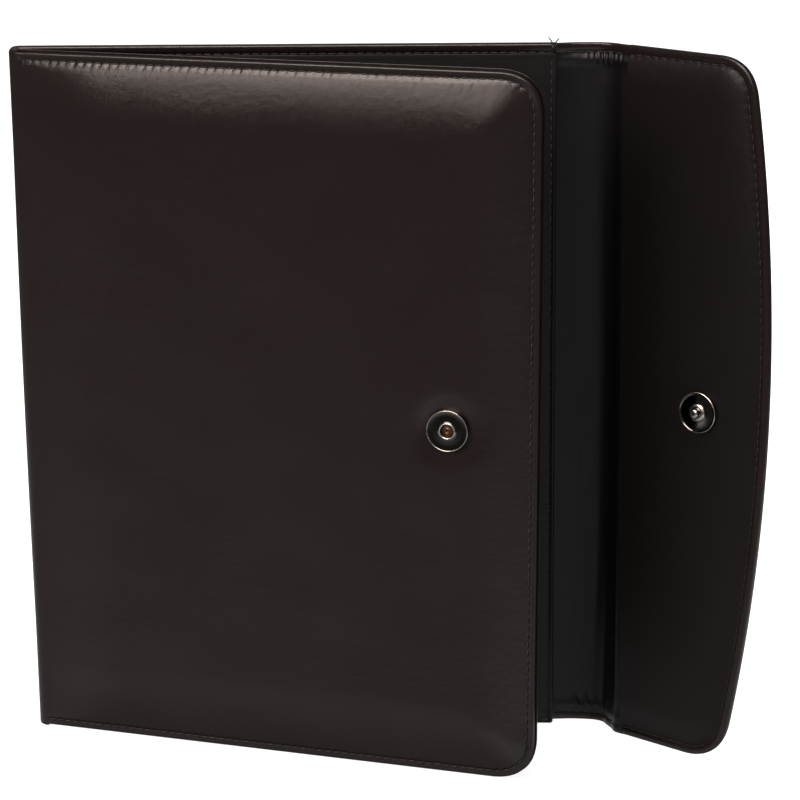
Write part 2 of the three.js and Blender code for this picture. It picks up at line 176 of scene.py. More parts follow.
class CasePlan:
    """Where each part of the case lies in the shared frame."""

    def __init__(self, sizes: CaseSizes) -> None:
        """Finds the spine's corner, from which the case is laid out, in the frame."""
        self.sizes = sizes
        low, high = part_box("spine")
        leg_lean = float(self.lean_at(np.float64(sizes.spine_leg), np.float64(sizes.height)))
        self.origin = np.array([low.x, high.y - MILLI * leg_lean, 0.0])

    def metres(self, x: np.ndarray, y: np.ndarray, z: np.ndarray) -> np.ndarray:
        """Points of the frame from places in millimetres."""
        return np.stack(np.broadcast_arrays(x, y, z), axis=-1) * MILLI + self.origin

    def lean_at(self, x: np.ndarray, z: np.ndarray) -> np.ndarray:
        """Backward shift of the back's side of the case."""
        return self.sizes.lean * (x / self.sizes.back_width) * (z / self.sizes.height)

    def on_front(self, across: np.ndarray, z: np.ndarray, out: np.ndarray) -> np.ndarray:
        """Points of the front cover: across it, up it and out of its rim's plane."""
        s = self.sizes
        angle = mixed(s.open_foot, s.open_top, z / s.height)
        x = across * np.cos(angle) - out * np.sin(angle)
        y = -s.spine_depth - across * np.sin(angle) - out * np.cos(angle)
        return self.metres(x, y, z)

    def on_back(self, across: np.ndarray, z: np.ndarray, out: np.ndarray) -> np.ndarray:
        """Points of the back cover: across it, up it and out of its outer face."""
        return self.metres(across, out + self.lean_at(across, z), z)

    def on_panel(self, across: np.ndarray, z: np.ndarray, out: np.ndarray) -> np.ndarray:
        """Points of the inner panel, whose face looks at the reader."""
        s = self.sizes
        return self.on_back(across, z, -s.back_edge - s.gap - s.panel_thickness - out)

    def fold_at(self, z: np.ndarray) -> tuple[float, np.ndarray]:
        """Place in plan of the fold between gusset and flap."""
        s = self.sizes
        x = s.back_width + s.gusset_spread
        forward = mixed(s.fold_forward_foot, s.fold_forward_top, z / s.height)
        return x, self.lean_at(x, z) - forward

    def flap_angle_at(self, z: np.ndarray) -> np.ndarray:
        """Angle of the flap, forward of the back cover."""
        s = self.sizes
        return mixed(s.flap_angle_foot, s.flap_angle_top, z / s.height)

    def behind_flap(self, across: np.ndarray, z: np.ndarray, behind: np.ndarray) -> np.ndarray:
        """Points of the flap: across it from its fold, up it and behind its inner face."""
        return self.metres(*self.flap_plan(across, z, behind), z)

    def flap_plan(
        self, across: np.ndarray, z: np.ndarray, behind: np.ndarray
    ) -> tuple[np.ndarray, np.ndarray]:
        """The same points in plan, in millimetres."""
        angle = self.flap_angle_at(z)
        fold_x, fold_y = self.fold_at(z)
        x = fold_x + across * np.cos(angle) + behind * np.sin(angle)
        y = fold_y - across * np.sin(angle) + behind * np.cos(angle)
        return x, y

    def flap_width_at(self, z: np.ndarray) -> np.ndarray:
        """Distance of the flap's bowed outer edge from its fold."""
        s = self.sizes
        share = z / s.height
        return mixed(s.flap_foot_width, s.flap_top_width, share) + 4 * s.flap_bow * share * (
            1 - share
        )

    def gusset_plan(self, z: float, shares: np.ndarray) -> tuple[np.ndarray, np.ndarray]:
        """The gusset's face in plan at one height.

        Args:
            z: the height.
            shares: places along it, 0 at the back cover and 1 at the flap's fold.

        Returns:
            Points in plan, and the direction behind the face at each of them.
        """
        s = self.sizes
        height_share = z / s.height
        start_x = s.back_width + s.gap
        start = np.array([start_x, self.lean_at(start_x, z) - s.back_edge + s.gap])
        end = np.array(self.flap_plan(np.float64(-s.gap), np.float64(z), np.float64(0.0)))
        span = end - start
        behind = np.array([-span[1], span[0]])
        knots = [start]
        for along, foot, middle, top in GUSSET_SLACK:
            bow = 4 * (middle - (foot + top) / 2)
            bulge = mixed(foot, top, height_share) + bow * height_share * (1 - height_share)
            knots.append(start + span * along + behind * bulge)
        angle = self.flap_angle_at(z)
        knots += [end - FLAP_RUN * np.array([math.cos(angle), -math.sin(angle)]), end]
        points = spline(np.array(knots), 40)
        steps = np.linalg.norm(np.diff(points, axis=0), axis=1)
        walked = np.concatenate([[0.0], np.cumsum(steps)])
        at, near_by = shares * walked[-1], 0.4

        def spot(way: np.ndarray) -> np.ndarray:
            """Points at distances along the path."""
            return np.stack([np.interp(way, walked, points[:, k]) for k in (0, 1)], axis=-1)

        along_path = spot(at + near_by) - spot(at - near_by)
        along_path /= np.linalg.norm(along_path, axis=1)[:, None]
        return spot(at), np.stack([-along_path[:, 1], along_path[:, 0]], axis=-1)


def spline(knots: np.ndarray, steps: int) -> np.ndarray:
    """Smooth curve through points in plan.

    Args:
        knots: the points.
        steps: pieces between two of them.

    Returns:
        The curve's points.
    """
    padded = np.concatenate([knots[:1], knots, knots[-1:]])
    t = np.linspace(0, 1, steps, endpoint=False)[:, None]
    pieces = []
    for a, b, c, d in zip(padded, padded[1:], padded[2:], padded[3:]):
        start, end = (c - a) / 2, (d - b) / 2
        cubic = (2 * b - 2 * c + start + end) * t**3
        pieces.append(cubic + (-3 * b + 3 * c - 2 * start - end) * t**2 + start * t + b)
    return np.concatenate([*pieces, knots[-1:]])


@dataclass(frozen=True)
class Outline:
    """Outline of a panel: straight next to the spine or fold, round at its two far corners.

    Its steps are the pieces of foot or top, of one corner and of the far side, each of them
    divisible by 4 because the rings get coarser away from the seam. Inner rings have sharper
    corners, down to the sharpest radius.
    """

    near: float
    foot: float
    top: float
    far_at: Callable[[np.ndarray], np.ndarray]
    corners: tuple[float, float]
    steps: tuple[int, int, int]
    sharpest: float = 0.6

    def counts(self, level: int) -> tuple[int, int, int]:
        """Pieces of level foot, corner and far side in a ring that is coarser by 2**level."""
        flat, corner, side = self.steps
        return flat >> level, corner >> level, side >> level

    def ring(self, inset: float, level: int) -> np.ndarray:
        """Places across and up the panel, round its foot, far side and top.

        Args:
            inset: distance inside the outline.
            level: how many times the ring's steps are doubled.

        Returns:
            One row of (across, up) for each point.
        """
        flat, corner, side = self.counts(level)
        foot, top = self.foot + inset, self.top - inset
        legs = [ARC_TURN * max(c * math.exp(-inset / c), self.sharpest) for c in self.corners]

        def far(z: float) -> float:
            """Place across of the far side at one height."""
            return float(self.far_at(np.float64(z))) - inset

        foot_end = np.array([far(foot) - legs[0], foot])
        side_foot = np.array([far(foot + legs[0]), foot + legs[0]])
        side_top = np.array([far(top - legs[1]), top - legs[1]])
        top_end = np.array([far(top) - legs[1], top])
        up = np.linspace(side_foot[1], side_top[1], side, endpoint=False)
        return np.concatenate(
            [
                straight(np.array([self.near, foot]), foot_end, flat),
                bend(foot_end, np.array([far(foot), foot]), side_foot, corner),
                np.stack([self.far_at(up) - inset, up], axis=-1),
                bend(side_top, np.array([far(top), top]), top_end, corner),
                straight(top_end, np.array([self.near, top]), flat),
                [[self.near, top]],
            ]
        )


def straight(first: np.ndarray, last: np.ndarray, steps: int) -> np.ndarray:
    """Points of a straight line without its last one."""
    return mixed(first, last, np.linspace(0, 1, steps, endpoint=False)[:, None])


def bend(first: np.ndarray, middle: np.ndarray, last: np.ndarray, steps: int) -> np.ndarray:
    """Points of a round corner without its last one."""
    t = np.linspace(0, 1, steps, endpoint=False)[:, None]
    return first * (1 - t) ** 2 + middle * 2 * t * (1 - t) + last * t**2


# Height of a face's points, from places across and up, the ring's inset and the seam's way
Height = Callable[[np.ndarray, np.ndarray, float, np.ndarray], np.ndarray]


@dataclass(frozen=True)
class SeamRing:
    """One ring of a panel: its distance from the edge, its height and how coarse it is."""

    inset: float
    out: float
    level: int = 0


def coarseness(distance: float, fine: float, medium: float) -> int:
    """Level of a ring: 0 up to the fine distance, 1 up to the medium one and 2 beyond."""
    return int(distance >= fine) + int(distance >= medium)


class PanelMesh:
    """Mesh of a panel, laid ring by ring from the middle of its back to that of its face."""

    def __init__(self, outline: Outline, place: Place, seam_inset: float) -> None:
        """Starts an empty panel.

        Args:
            outline: its outline.
            place: function that puts its points in the frame.
            seam_inset: how far inside the outline it is stitched.
        """
        self.outline, self.place = outline, place
        self.seam_inset = seam_inset
        self.points: list[np.ndarray] = []
        self.faces: list[tuple[int, ...]] = []
        self.field_faces: list[int] = []
        self.count = 0
        seam = outline.ring(seam_inset, 0)
        steps = np.linalg.norm(np.diff(seam, axis=0), axis=1)
        self.walked = np.concatenate([[0.0], np.cumsum(steps)])

    def add(self, flat: np.ndarray, out: np.ndarray) -> np.ndarray:
        """Adds points at places (across, up) of the panel and returns their numbers."""
        placed = self.place(flat[..., 0], flat[..., 1], out)
        self.points.append(placed.reshape(-1, 3))
        numbers = np.arange(self.count, self.count + len(self.points[-1]))
        self.count += len(self.points[-1])
        return numbers.reshape(flat.shape[:-1])

    def build(
        self, back: Sequence[SeamRing], face: Sequence[SeamRing], height: Height
    ) -> tuple[list[np.ndarray], list[tuple[int, ...]]]:
        """Lays all rings, fills both middles and closes the near side.

        Args:
            back: rings from the middle of the back round the edge.
            face: rings from the edge to the middle of the face.
            height: height of the face's points, from their place, ring and way along the seam.

        Returns:
            The mesh's points and faces.
        """
        rings: list[tuple[np.ndarray, int]] = []
        for part, ring in [(0, r) for r in back] + [(1, r) for r in face]:
            flat = self.outline.ring(ring.inset, ring.level)
            along = self.walked[:: 1 << ring.level]
            out = np.full(len(flat), ring.out)
            if part:
                out = out + height(flat[:, 0], flat[:, 1], ring.inset, along)
            rings.append((self.add(flat, out), ring.level))
            if len(rings) > 1:
                done = len(self.faces)
                self.join(*rings[-2], *rings[-1])
                if part and ring.inset > self.seam_inset:
                    self.field_faces += range(done, len(self.faces))
        foot_line = [int(ring[0]) for ring, _ in rings]
        top_line = [int(ring[-1]) for ring, _ in reversed(rings)]
        done = len(self.faces)
        face_line = self.fill(rings[-1][0], face[-1], height)
        self.field_faces += range(done, len(self.faces))
        back_line = self.fill(rings[0][0], back[0], None)
        self.faces.append(tuple(foot_line + face_line + top_line + back_line[::-1]))
        return self.points, self.faces

    def join(self, first: np.ndarray, first_level: int, second: np.ndarray, level: int) -> None:
        """Faces between two rings, one of which may be twice as coarse."""
        if first_level == level:
            for i in range(len(first) - 1):
                self.faces.append((first[i], first[i + 1], second[i + 1], second[i]))
            return
        fine, coarse = (first, second) if first_level < level else (second, first)
        for i in range(len(coarse) - 1):
            a, b, c = fine[2 * i], fine[2 * i + 1], fine[2 * i + 2]
            self.faces.append((a, b, coarse[i]))
            self.faces.append((b, c, coarse[i + 1]))
            self.faces.append((b, coarse[i + 1], coarse[i]))

    def fill(self, ring: np.ndarray, shape: SeamRing, height: Height | None) -> list[int]:
        """Fills the inside of the last ring with a net of quads.

        Args:
            ring: numbers of its points.
            shape: its inset, height and level.
            height: height of the face's points, or None for a flat middle.

        Returns:
            Numbers of the new points along the near side, from foot to top.
        """
        flat_steps, corner, side = self.outline.counts(shape.level)
        up_steps = side + 2 * corner
        edge = self.outline.ring(shape.inset, shape.level)
        foot, far = edge[: flat_steps + 1], edge[flat_steps : flat_steps + up_steps + 1]
        top = edge[flat_steps + up_steps :][::-1]
        near_x = self.outline.near
        near = np.stack([np.full(up_steps + 1, near_x), far[:, 1]], axis=-1)
        near[:, 1] = np.linspace(foot[0, 1], top[0, 1], up_steps + 1)
        s = np.linspace(0, 1, flat_steps + 1)[None, :, None]
        t = np.linspace(0, 1, up_steps + 1)[:, None, None]
        net = (1 - s) * near[:, None] + s * far[:, None] + (1 - t) * foot[None] + t * top[None]
        net = net - (1 - s) * ((1 - t) * foot[0] + t * top[0])
        net = net - s * ((1 - t) * foot[-1] + t * top[-1])
        inner = net[1:-1, :-1]
        out = np.full(inner.shape[:2], shape.out)
        if height is not None:
            out = out + height(inner[..., 0], inner[..., 1], shape.inset, None)
        numbers = np.empty((up_steps + 1, flat_steps + 1), int)
        numbers[1:-1, :-1] = self.add(inner, out)
        numbers[0] = ring[: flat_steps + 1]
        numbers[:, -1] = ring[flat_steps : flat_steps + up_steps + 1]
        numbers[-1] = ring[flat_steps + up_steps :][::-1]
        for j in range(up_steps):
            for i in range(flat_steps):
                square = numbers[j : j + 2, i : i + 2]
                self.faces.append((square[0, 0], square[0, 1], square[1, 1], square[1, 0]))
        return [int(n) for n in numbers[1:-1, 0]]


def leather_object(
    name: str, points: Sequence[np.ndarray], faces: Sequence[tuple[int, ...]]
) -> bpy.types.Object:
    """Makes a smooth closed object from points and faces.

    Args:
        name: the piece's name.
        points: arrays of points, in metres.
        faces: numbers of each face's points.

    Returns:
        The object, with its faces turned outwards and its end caps flat.
    """
    mesh = bpy.data.meshes.new(name)
    mesh.from_pydata(np.concatenate(points).tolist(), [], [tuple(map(int, f)) for f in faces])
    work = bmesh.new()
    work.from_mesh(mesh)
    caps = [f for f in work.faces if len(f.verts) > 4]
    for face in work.faces:
        face.smooth = True
    for cap in caps:
        for edge in cap.edges:
            edge.smooth = False
    bmesh.ops.triangulate(work, faces=caps, ngon_method="EAR_CLIP")
    bmesh.ops.recalc_face_normals(work, faces=work.faces)
    work.to_mesh(mesh)
    work.free()
    piece = bpy.data.objects.new(name, mesh)
    bpy.context.scene.collection.objects.link(piece)
    return piece


def second_finish(piece: bpy.types.Object, numbers: Sequence[int]) -> None:
    """Marks the faces of a piece that take its second material."""
    for number in numbers:
        piece.data.polygons[number].material_index = 1


def swept_wall(name: str, loops: Sequence[np.ndarray]) -> bpy.types.Object:
    """Closed wall from one closed loop of points for each of its columns."""
    size = len(loops[0])
    faces: list[tuple[int, ...]] = []
    for k in range(len(loops) - 1):
        for i in range(size):
            n = (i + 1) % size
            a = k * size
            faces.append((a + i, a + n, a + size + n, a + size + i))
    faces.append(tuple(range(size)))
    faces.append(tuple(range((len(loops) - 1) * size, len(loops) * size)))
    return leather_object(name, loops, faces)


def tube_faces(base: int, rings: int, sides: int) -> list[tuple[int, ...]]:
    """Faces of a round strand whose first point has the number base, with both its ends."""
    last = base + (rings - 1) * sides
    faces = [tuple(range(base, base + sides)), tuple(range(last, last + sides))]
    for row in range(base, last, sides):
        for i in range(sides):
            n = (i + 1) % sides
            faces.append((row + i, row + n, row + sides + n, row + sides + i))
    return faces


def strand_points(
    path: np.ndarray, ahead: np.ndarray, up: np.ndarray, thick: np.ndarray, sides: int
) -> np.ndarray:
    """Points of a round strand.

    Args:
        path: its middle line.
        ahead: steps along that line.
        up: a direction that isn't along it, or one for each of its points.
        thick: its radius at each point.
        sides: points of a ring.

    Returns:
        The points, ring by ring.
    """
    ahead = ahead / np.linalg.norm(ahead, axis=1)[:, None]
    side = np.cross(ahead, up)
    side /= np.linalg.norm(side, axis=1)[:, None]
    over = np.cross(side, ahead)
    turns = np.linspace(0, math.tau, sides, endpoint=False)[None, :, None]
    round_it = np.cos(turns) * side[:, None] + np.sin(turns) * over[:, None]
    return (path[:, None] + thick[:, None, None] * round_it).reshape(-1, 3)


@dataclass(frozen=True)
class Thread:
    """Sewing thread: length, radius, gap and arch of its stitches, and how finely they are cut."""

    pitch: float = 4.0
    radius: float = 0.33
    opening: float = 0.75
    arch: float = 0.35
    sides: int = 6
    rings: int = 5

    def sew(self, name: str, place: Place, flat: np.ndarray, out: np.ndarray) -> bpy.types.Object:
        """Lays a row of stitches.

        Args:
            name: the row's name.
            place: function that puts points of the piece in the frame.
            flat: fine line of places (across, up) that the row follows.
            out: height of the stitches' middle line there.

        Returns:
            One mesh with all of them.
        """
        line = place(flat[:, 0], flat[:, 1], out)
        raised = place(flat[:, 0], flat[:, 1], out + 1.0)
        outward = (raised - line) / np.linalg.norm(raised - line, axis=1)[:, None]
        steps = np.linalg.norm(np.diff(line, axis=0), axis=1) / MILLI
        walked = np.concatenate([[0.0], np.cumsum(steps)])
        count = int(walked[-1] // self.pitch)
        points, faces = [], []
        t = np.linspace(0, 1, self.rings)
        bulge = np.sin(math.pi * t)
        thick = self.radius * MILLI * (0.55 + 0.45 * bulge**0.5)
        for k in range(count):
            at = k * self.pitch + self.opening / 2 + t * (self.pitch - self.opening)
            middle = np.stack([np.interp(at, walked, line[:, c]) for c in range(3)], axis=-1)
            up = np.stack([np.interp(at, walked, outward[:, c]) for c in range(3)], axis=-1)
            middle = middle + up * ((bulge - 0.6) * self.arch * MILLI)[:, None]
            faces += tube_faces(k * self.sides * self.rings, self.rings, self.sides)
            ahead = np.gradient(middle, axis=0)
            points.append(strand_points(middle, ahead, up, thick, self.sides))
        return leather_object(name, points, faces)


def strands(name: str, paths: Sequence[np.ndarray], radius: float) -> bpy.types.Object:
    """Makes loose thread ends.

    Args:
        name: the object's name.
        paths: the middle line of each strand, in the frame.
        radius: the thread's radius in millimetres.

    Returns:
        One mesh with all of them.
    """
    points, faces, sides, base = [], [], 6, 0
    for path in paths:
        thick = radius * MILLI * np.linspace(1.0, 0.7, len(path))
        ahead = np.gradient(path, axis=0)
        points.append(strand_points(path, ahead, np.array((0.0, 1.0, 0.1)), thick, sides))
        faces += tube_faces(base, len(path), sides)
        base += len(path) * sides
    return leather_object(name, points, faces)


class Puckers:
    """Small pulls that stitches leave in padded leather: a valley at each needle hole."""

    HOLES = 400

    def __init__(
        self, pitch: float, depth: float, start: float, seed: int, slant: float = 0.0
    ) -> None:
        """Draws a depth and a length for each valley.

        Args:
            pitch: distance between needle holes.
            depth: depth of a typical valley.
            start: distance of the seam from the edge.
            seed: number that picks the pattern.
            slant: how far the valleys lean along the seam, for each step away from it.
        """
        self.slant = slant
        draw = np.random.RandomState(seed)
        self.pitch, self.start = pitch, start
        self.depths = depth * draw.uniform(0.55, 1.15, self.HOLES)
        self.lengths = draw.uniform(0.8, 1.5, self.HOLES)
        self.lengths *= np.where(draw.rand(self.HOLES) > 0.94, 1.8, 1.0)
        self.shifts = draw.uniform(-0.5, 0.5, self.HOLES)

    def depth_at(self, along: np.ndarray, inset: float) -> np.ndarray:
        """How far the leather is pulled in, at each place along the seam."""
        beyond = max(inset - self.start, 0.0)
        hole = np.clip(np.rint(along / self.pitch).astype(int), 0, self.HOLES - 1)
        away = along - hole * self.pitch - 0.4 * self.shifts[hole]
        away = away - (self.slant + 0.15 * self.shifts[hole]) * beyond
        width = 0.65 + 0.13 * beyond
        valley = np.exp(-((away / width) ** 2)) * np.exp(-beyond / self.lengths[hole])
        return self.depths[hole] * valley


def swell(beyond: np.ndarray, reach: float, puff: float | np.ndarray = 0.22) -> np.ndarray:
    """Height of padding beside a seam, as a share of its full height.

    Args:
        beyond: distance from the groove.
        reach: distance at which the padding is full.
        puff: share of the height that it has at once, in a small roll along the stitches.

    Returns:
        The share, from 0 in the groove to 1.
    """
    roll = 1 - np.exp(-((beyond / 1.5) ** 1.3))
    rise = 1 - (1 - np.clip(beyond / reach, 0.0, 1.0)) ** 2
    return puff * roll + (1 - puff) * rise


def swell_rings(groove: float, reach: float, finest: float = 0.62) -> list[float]:
    """Distances from the groove at which padding beside a seam is cut into rings."""
    rings, at, step = [], groove, finest * 0.55
    while at < groove + reach:
        rings.append(at)
        at += step
        step = min(step * (1.04 if at < groove + 6 else 1.35), 5.0)
    return [*rings, groove + reach]


def field_rings(
    groove: float, reach: float, floor: float, levels: tuple[float, float], finest: float = 0.62
) -> list[SeamRing]:
    """Rings of the padding inside a seam.

    Args:
        groove: the seam's distance from the edge.
        reach: width of the padding that the rings cover.
        floor: height of the groove's bottom.
        levels: distances from the groove at which the rings get coarser.
        finest: width that the first rings are cut by.

    Returns:
        The rings from the groove inwards.
    """
    return [
        SeamRing(inset, floor, coarseness(inset - groove, *levels))
        for inset in swell_rings(groove, reach, finest)
    ]


class FrontCover:
    """Padded front cover: leather over foam and board, stitched round three sides."""

    GROOVE = SEAM_INSET
    # From the inside round the lining's thin turned edge and a crease to the rim's crest
    BACK = (
        (24.0, -4.6), (14.0, -4.6), (9.0, -4.6), (7.0, -4.58), (5.6, -4.5), (4.7, -4.3),
        (4.0, -4.15), (3.4, -4.3), (2.6, -4.5), (1.6, -4.58), (0.8, -4.6), (0.35, -4.58),
        (0.08, -4.54), (0.02, -4.45), (0.01, -4.15), (0.06, -4.08), (0.2, -4.06), (1.1, -4.08),
        (1.8, -4.05), (2.1, -3.8), (2.05, -3.2), (1.7, -2.6), (1.15, -2.1), (0.72, -1.78),
    )
    RIM = (
        (0.6, -1.5), (0.58, -1.15), (0.62, -0.78), (0.72, -0.46), (0.9, -0.2), (1.15, -0.04),
        (1.42, 0.0), (1.75, -0.06), (2.2, -0.22), (2.8, -0.48), (3.35, -0.76), (3.75, -0.92),
    )
    # At the foot the rim is pressed flat
    FOOT_RIM = (
        (0.6, -1.5), (0.64, -1.2), (0.78, -0.95), (1.0, -0.78), (1.4, -0.68), (2.0, -0.6),
        (3.0, -0.52), (3.75, -0.47),
    )
    FOOT_LIFT = 0.5
    FLOOR = -0.95
    REACH = 30.0
    # How far behind the rim's plane the stitches of the inside lie
    INNER_SEAM = 4.35

    def __init__(self, plan: CasePlan) -> None:
        """Sets out the cover's outline and its seam."""
        self.plan = plan
        s = plan.sizes
        self.near = s.spine_bend
        self.outline = Outline(
            near=self.near, foot=0.0, top=s.height, far_at=lambda z: np.full_like(z, s.front_width),
            corners=(s.front_corner, s.front_corner), steps=(336, 40, 416),
        )
        self.puckers = Puckers(pitch=4.0, depth=0.44, start=self.GROOVE, seed=11, slant=0.35)
        self.snap = (s.front_width - s.snap_inset, s.height / 2 + s.snap_rise)

    def height(
        self, across: np.ndarray, up: np.ndarray, inset: float, along: np.ndarray | None
    ) -> np.ndarray:
        """Height that padding, puckers and unevenness add to a ring of the face."""
        s = self.plan.sizes
        start = eased(self.near, self.near + 2.5, across)
        low = self.lowness(up)
        if inset < self.GROOVE:
            wave = 0.07 * ripple(across, up, 26.0, 5) * eased(0.9, 2.0, np.float64(inset))
            rim = float(np.interp(inset, *np.array(self.RIM).T))
            pressed = (float(np.interp(inset, *np.array(self.FOOT_RIM).T)) - rim) * low
            rim = rim * eased(1.2, 1.6, np.float64(inset))
            return (wave + pressed) * start - rim * (1 - start)
        # The roll beside the stitches grows towards the top and is nearly flat by the free side
        puff = 0.02 + 0.18 * eased(40.0, s.height - 20.0, up)
        puff = puff * (1 - 0.8 * eased(s.front_width - 45.0, s.front_width - 12.0, across))
        share = swell(inset - self.GROOVE, self.REACH, puff)
        from_spine = eased(self.near - 2.0, self.near + 40.0, across)
        total = ((s.front_padding + 0.5) * from_spine - self.FLOOR) * share
        total = total + self.FOOT_LIFT * low * (1 - share)
        soft = eased(self.GROOVE + 1.0, self.GROOVE + 20.0, np.float64(inset))
        total = total + 0.22 * ripple(across, up, 95.0, 3) * soft
        total = total + 0.07 * ripple(across, up, 34.0, 4) * soft
        # The pulls are strong along the top and weaker down the free side
        if along is not None:
            fade = 1 - eased(9.0, 14.0, np.float64(inset))
            strong = 0.25 + 0.75 * eased(s.height - 40.0, s.height - 8.0, up)
            strong = strong * (1 - 0.1 * eased(30.0, 110.0, across))
            strong = strong * (1 - 0.6 * eased(s.front_width - 32.0, s.front_width - 14.0, across))
            total = total - self.puckers.depth_at(along, inset) * fade * strong
        # The snap presses the padding down under its disc and a little round it
        away = np.hypot(across - self.snap[0], up - self.snap[1])
        dimple = -1.15 * np.exp(-((np.maximum(away - 9.0, 0.0) / 4.6) ** 2))
        return (total + dimple * soft) * start - self.FLOOR * (1 - start)

    @staticmethod
    def lowness(up: np.ndarray) -> np.ndarray:
        """1 at the foot, where the rim is pressed flat, and 0 above it."""
        return 1 - eased(8.0, 30.0, up)

    def face_rings(self) -> list[SeamRing]:
        """Rings of the rim and of the padded face."""
        rim = [SeamRing(inset, out) for inset, out in self.RIM]
        return rim + field_rings(self.GROOVE, self.REACH + 1.0, self.FLOOR, (9.0, 16.0))

    def build(self) -> list[bpy.types.Object]:
        """Makes the cover and the stitches of its face and its inside."""
        shell = PanelMesh(self.outline, self.plan.on_front, self.GROOVE)
        back = [SeamRing(i, out, coarseness(i, 10.0, 20.0)) for i, out in self.BACK]
        mesh = shell.build(back, self.face_rings(), self.height)
        cover = leather_object("front_cover_leather", *mesh)
        line = self.outline.ring(self.GROOVE, 0)
        thread = Thread()
        out = self.FLOOR + 0.08 + (self.FOOT_LIFT + 0.5) * self.lowness(line[:, 1])
        face_row = thread.sew("front_cover_stitches", self.plan.on_front, line, out)

        inside, depth = flipped(self.plan.on_front), np.full(len(line), self.INNER_SEAM)
        inner_row = thread.sew("front_inside_stitches", inside, line, depth)
        return [cover, face_row, inner_row]


# Section of a hem, from the middle of the edge inwards: inset and height above the face
HEM = (
    (0.0, -1.0), (0.08, -0.6), (0.24, -0.28), (0.46, -0.1), (0.85, 0.0), (1.5, 0.05),
    (2.2, 0.06), (2.8, 0.0), (3.3, -0.2), (3.65, -0.42), (SEAM_INSET, -0.54),
)


def hem_height(inset: np.ndarray, padding: float) -> np.ndarray:
    """Height of a hemmed face above its board, by distance from its edge."""
    groove, floor = HEM[-1]
    edge = np.interp(inset, [p[0] for p in HEM], [p[1] for p in HEM])
    return np.where(
        inset < groove, edge, floor + (padding - floor) * swell(inset - groove, 24.0, 0.35)
    )


def hemmed_levels(height: float, reach: float, field_steps: int) -> np.ndarray:
    """Heights at which a wall is cut: close together in both hems, wide between them."""
    insets = [p[0] for p in HEM] + swell_rings(SEAM_INSET, reach, 0.7)[1:]
    field = np.linspace(insets[-1], height - insets[-1], field_steps)[1:-1]
    return np.concatenate([insets, field, [height - i for i in reversed(insets)]])


class Spine:
    """Leather bent round the back of the case, from one cover to the other."""

    # Round edge at foot and top: height above it and drop below the outside
    EDGE = ((0.0, 1.1), (0.15, 0.6), (0.5, 0.2), (1.1, 0.0))

    def __init__(self, plan: CasePlan) -> None:
        """Keeps the plan."""
        self.plan = plan

    def path(self, z: float, steps: int) -> np.ndarray:
        """The spine's outside in plan at one height."""
        s = self.plan.sizes
        turn = s.spine_bend
        height = np.float64(z)

        def flat(point: np.ndarray) -> np.ndarray:
            """Place in plan, in millimetres, of a point of the frame."""
            return (point[:2] - self.plan.origin[:2]) / MILLI

        front = flat(self.plan.on_front(np.float64(turn), height, np.float64(0.0)))
        back = flat(self.plan.on_back(np.float64(turn), height, np.float64(0.0)))
        corner, other = np.array([0.0, -s.spine_depth]), np.array([0.0, 0.0])
        bulge = 0.9 * math.sin(math.pi * z / s.height)
        side = straight(corner + (0, turn), other - (0, turn), 10)
        side[:, 0] -= bulge * np.sin(np.linspace(0, math.pi, 10, endpoint=False)) ** 2
        return np.concatenate(
            [
                bend(front, corner, corner + (0, turn), steps),
                side,
                bend(other - (0, turn), other, back, steps),
                [back],
            ]
        )

    def build(self) -> list[bpy.types.Object]:
        """Makes the bent wall."""
        s = self.plan.sizes
        levels = list(self.EDGE)
        levels += [(z, 0.0) for z in np.linspace(2.5, s.height - 2.5, 40)]
        levels += [(s.height - i, d) for i, d in reversed(self.EDGE)]
        outer, inner = [], []
        for z, drop in levels:
            path = self.path(z, 9)
            ahead = np.gradient(path, axis=0)
            ahead /= np.linalg.norm(ahead, axis=1)[:, None]
            inward = np.stack([ahead[:, 1], -ahead[:, 0]], axis=-1)
            turned = 1.6 * (1 - float(eased(3.0, 12.0, np.float64(min(z, s.height - z)))))
            outer.append((path + inward * drop, z))
            inner.append((path + inward * (s.spine_wall + turned - drop), z))
        rows = [
            self.plan.metres(p[:, 0], p[:, 1], np.float64(z)) for p, z in outer + inner[::-1]
        ]
        return [swept_wall("spine_leather", list(np.stack(rows, axis=1)))]


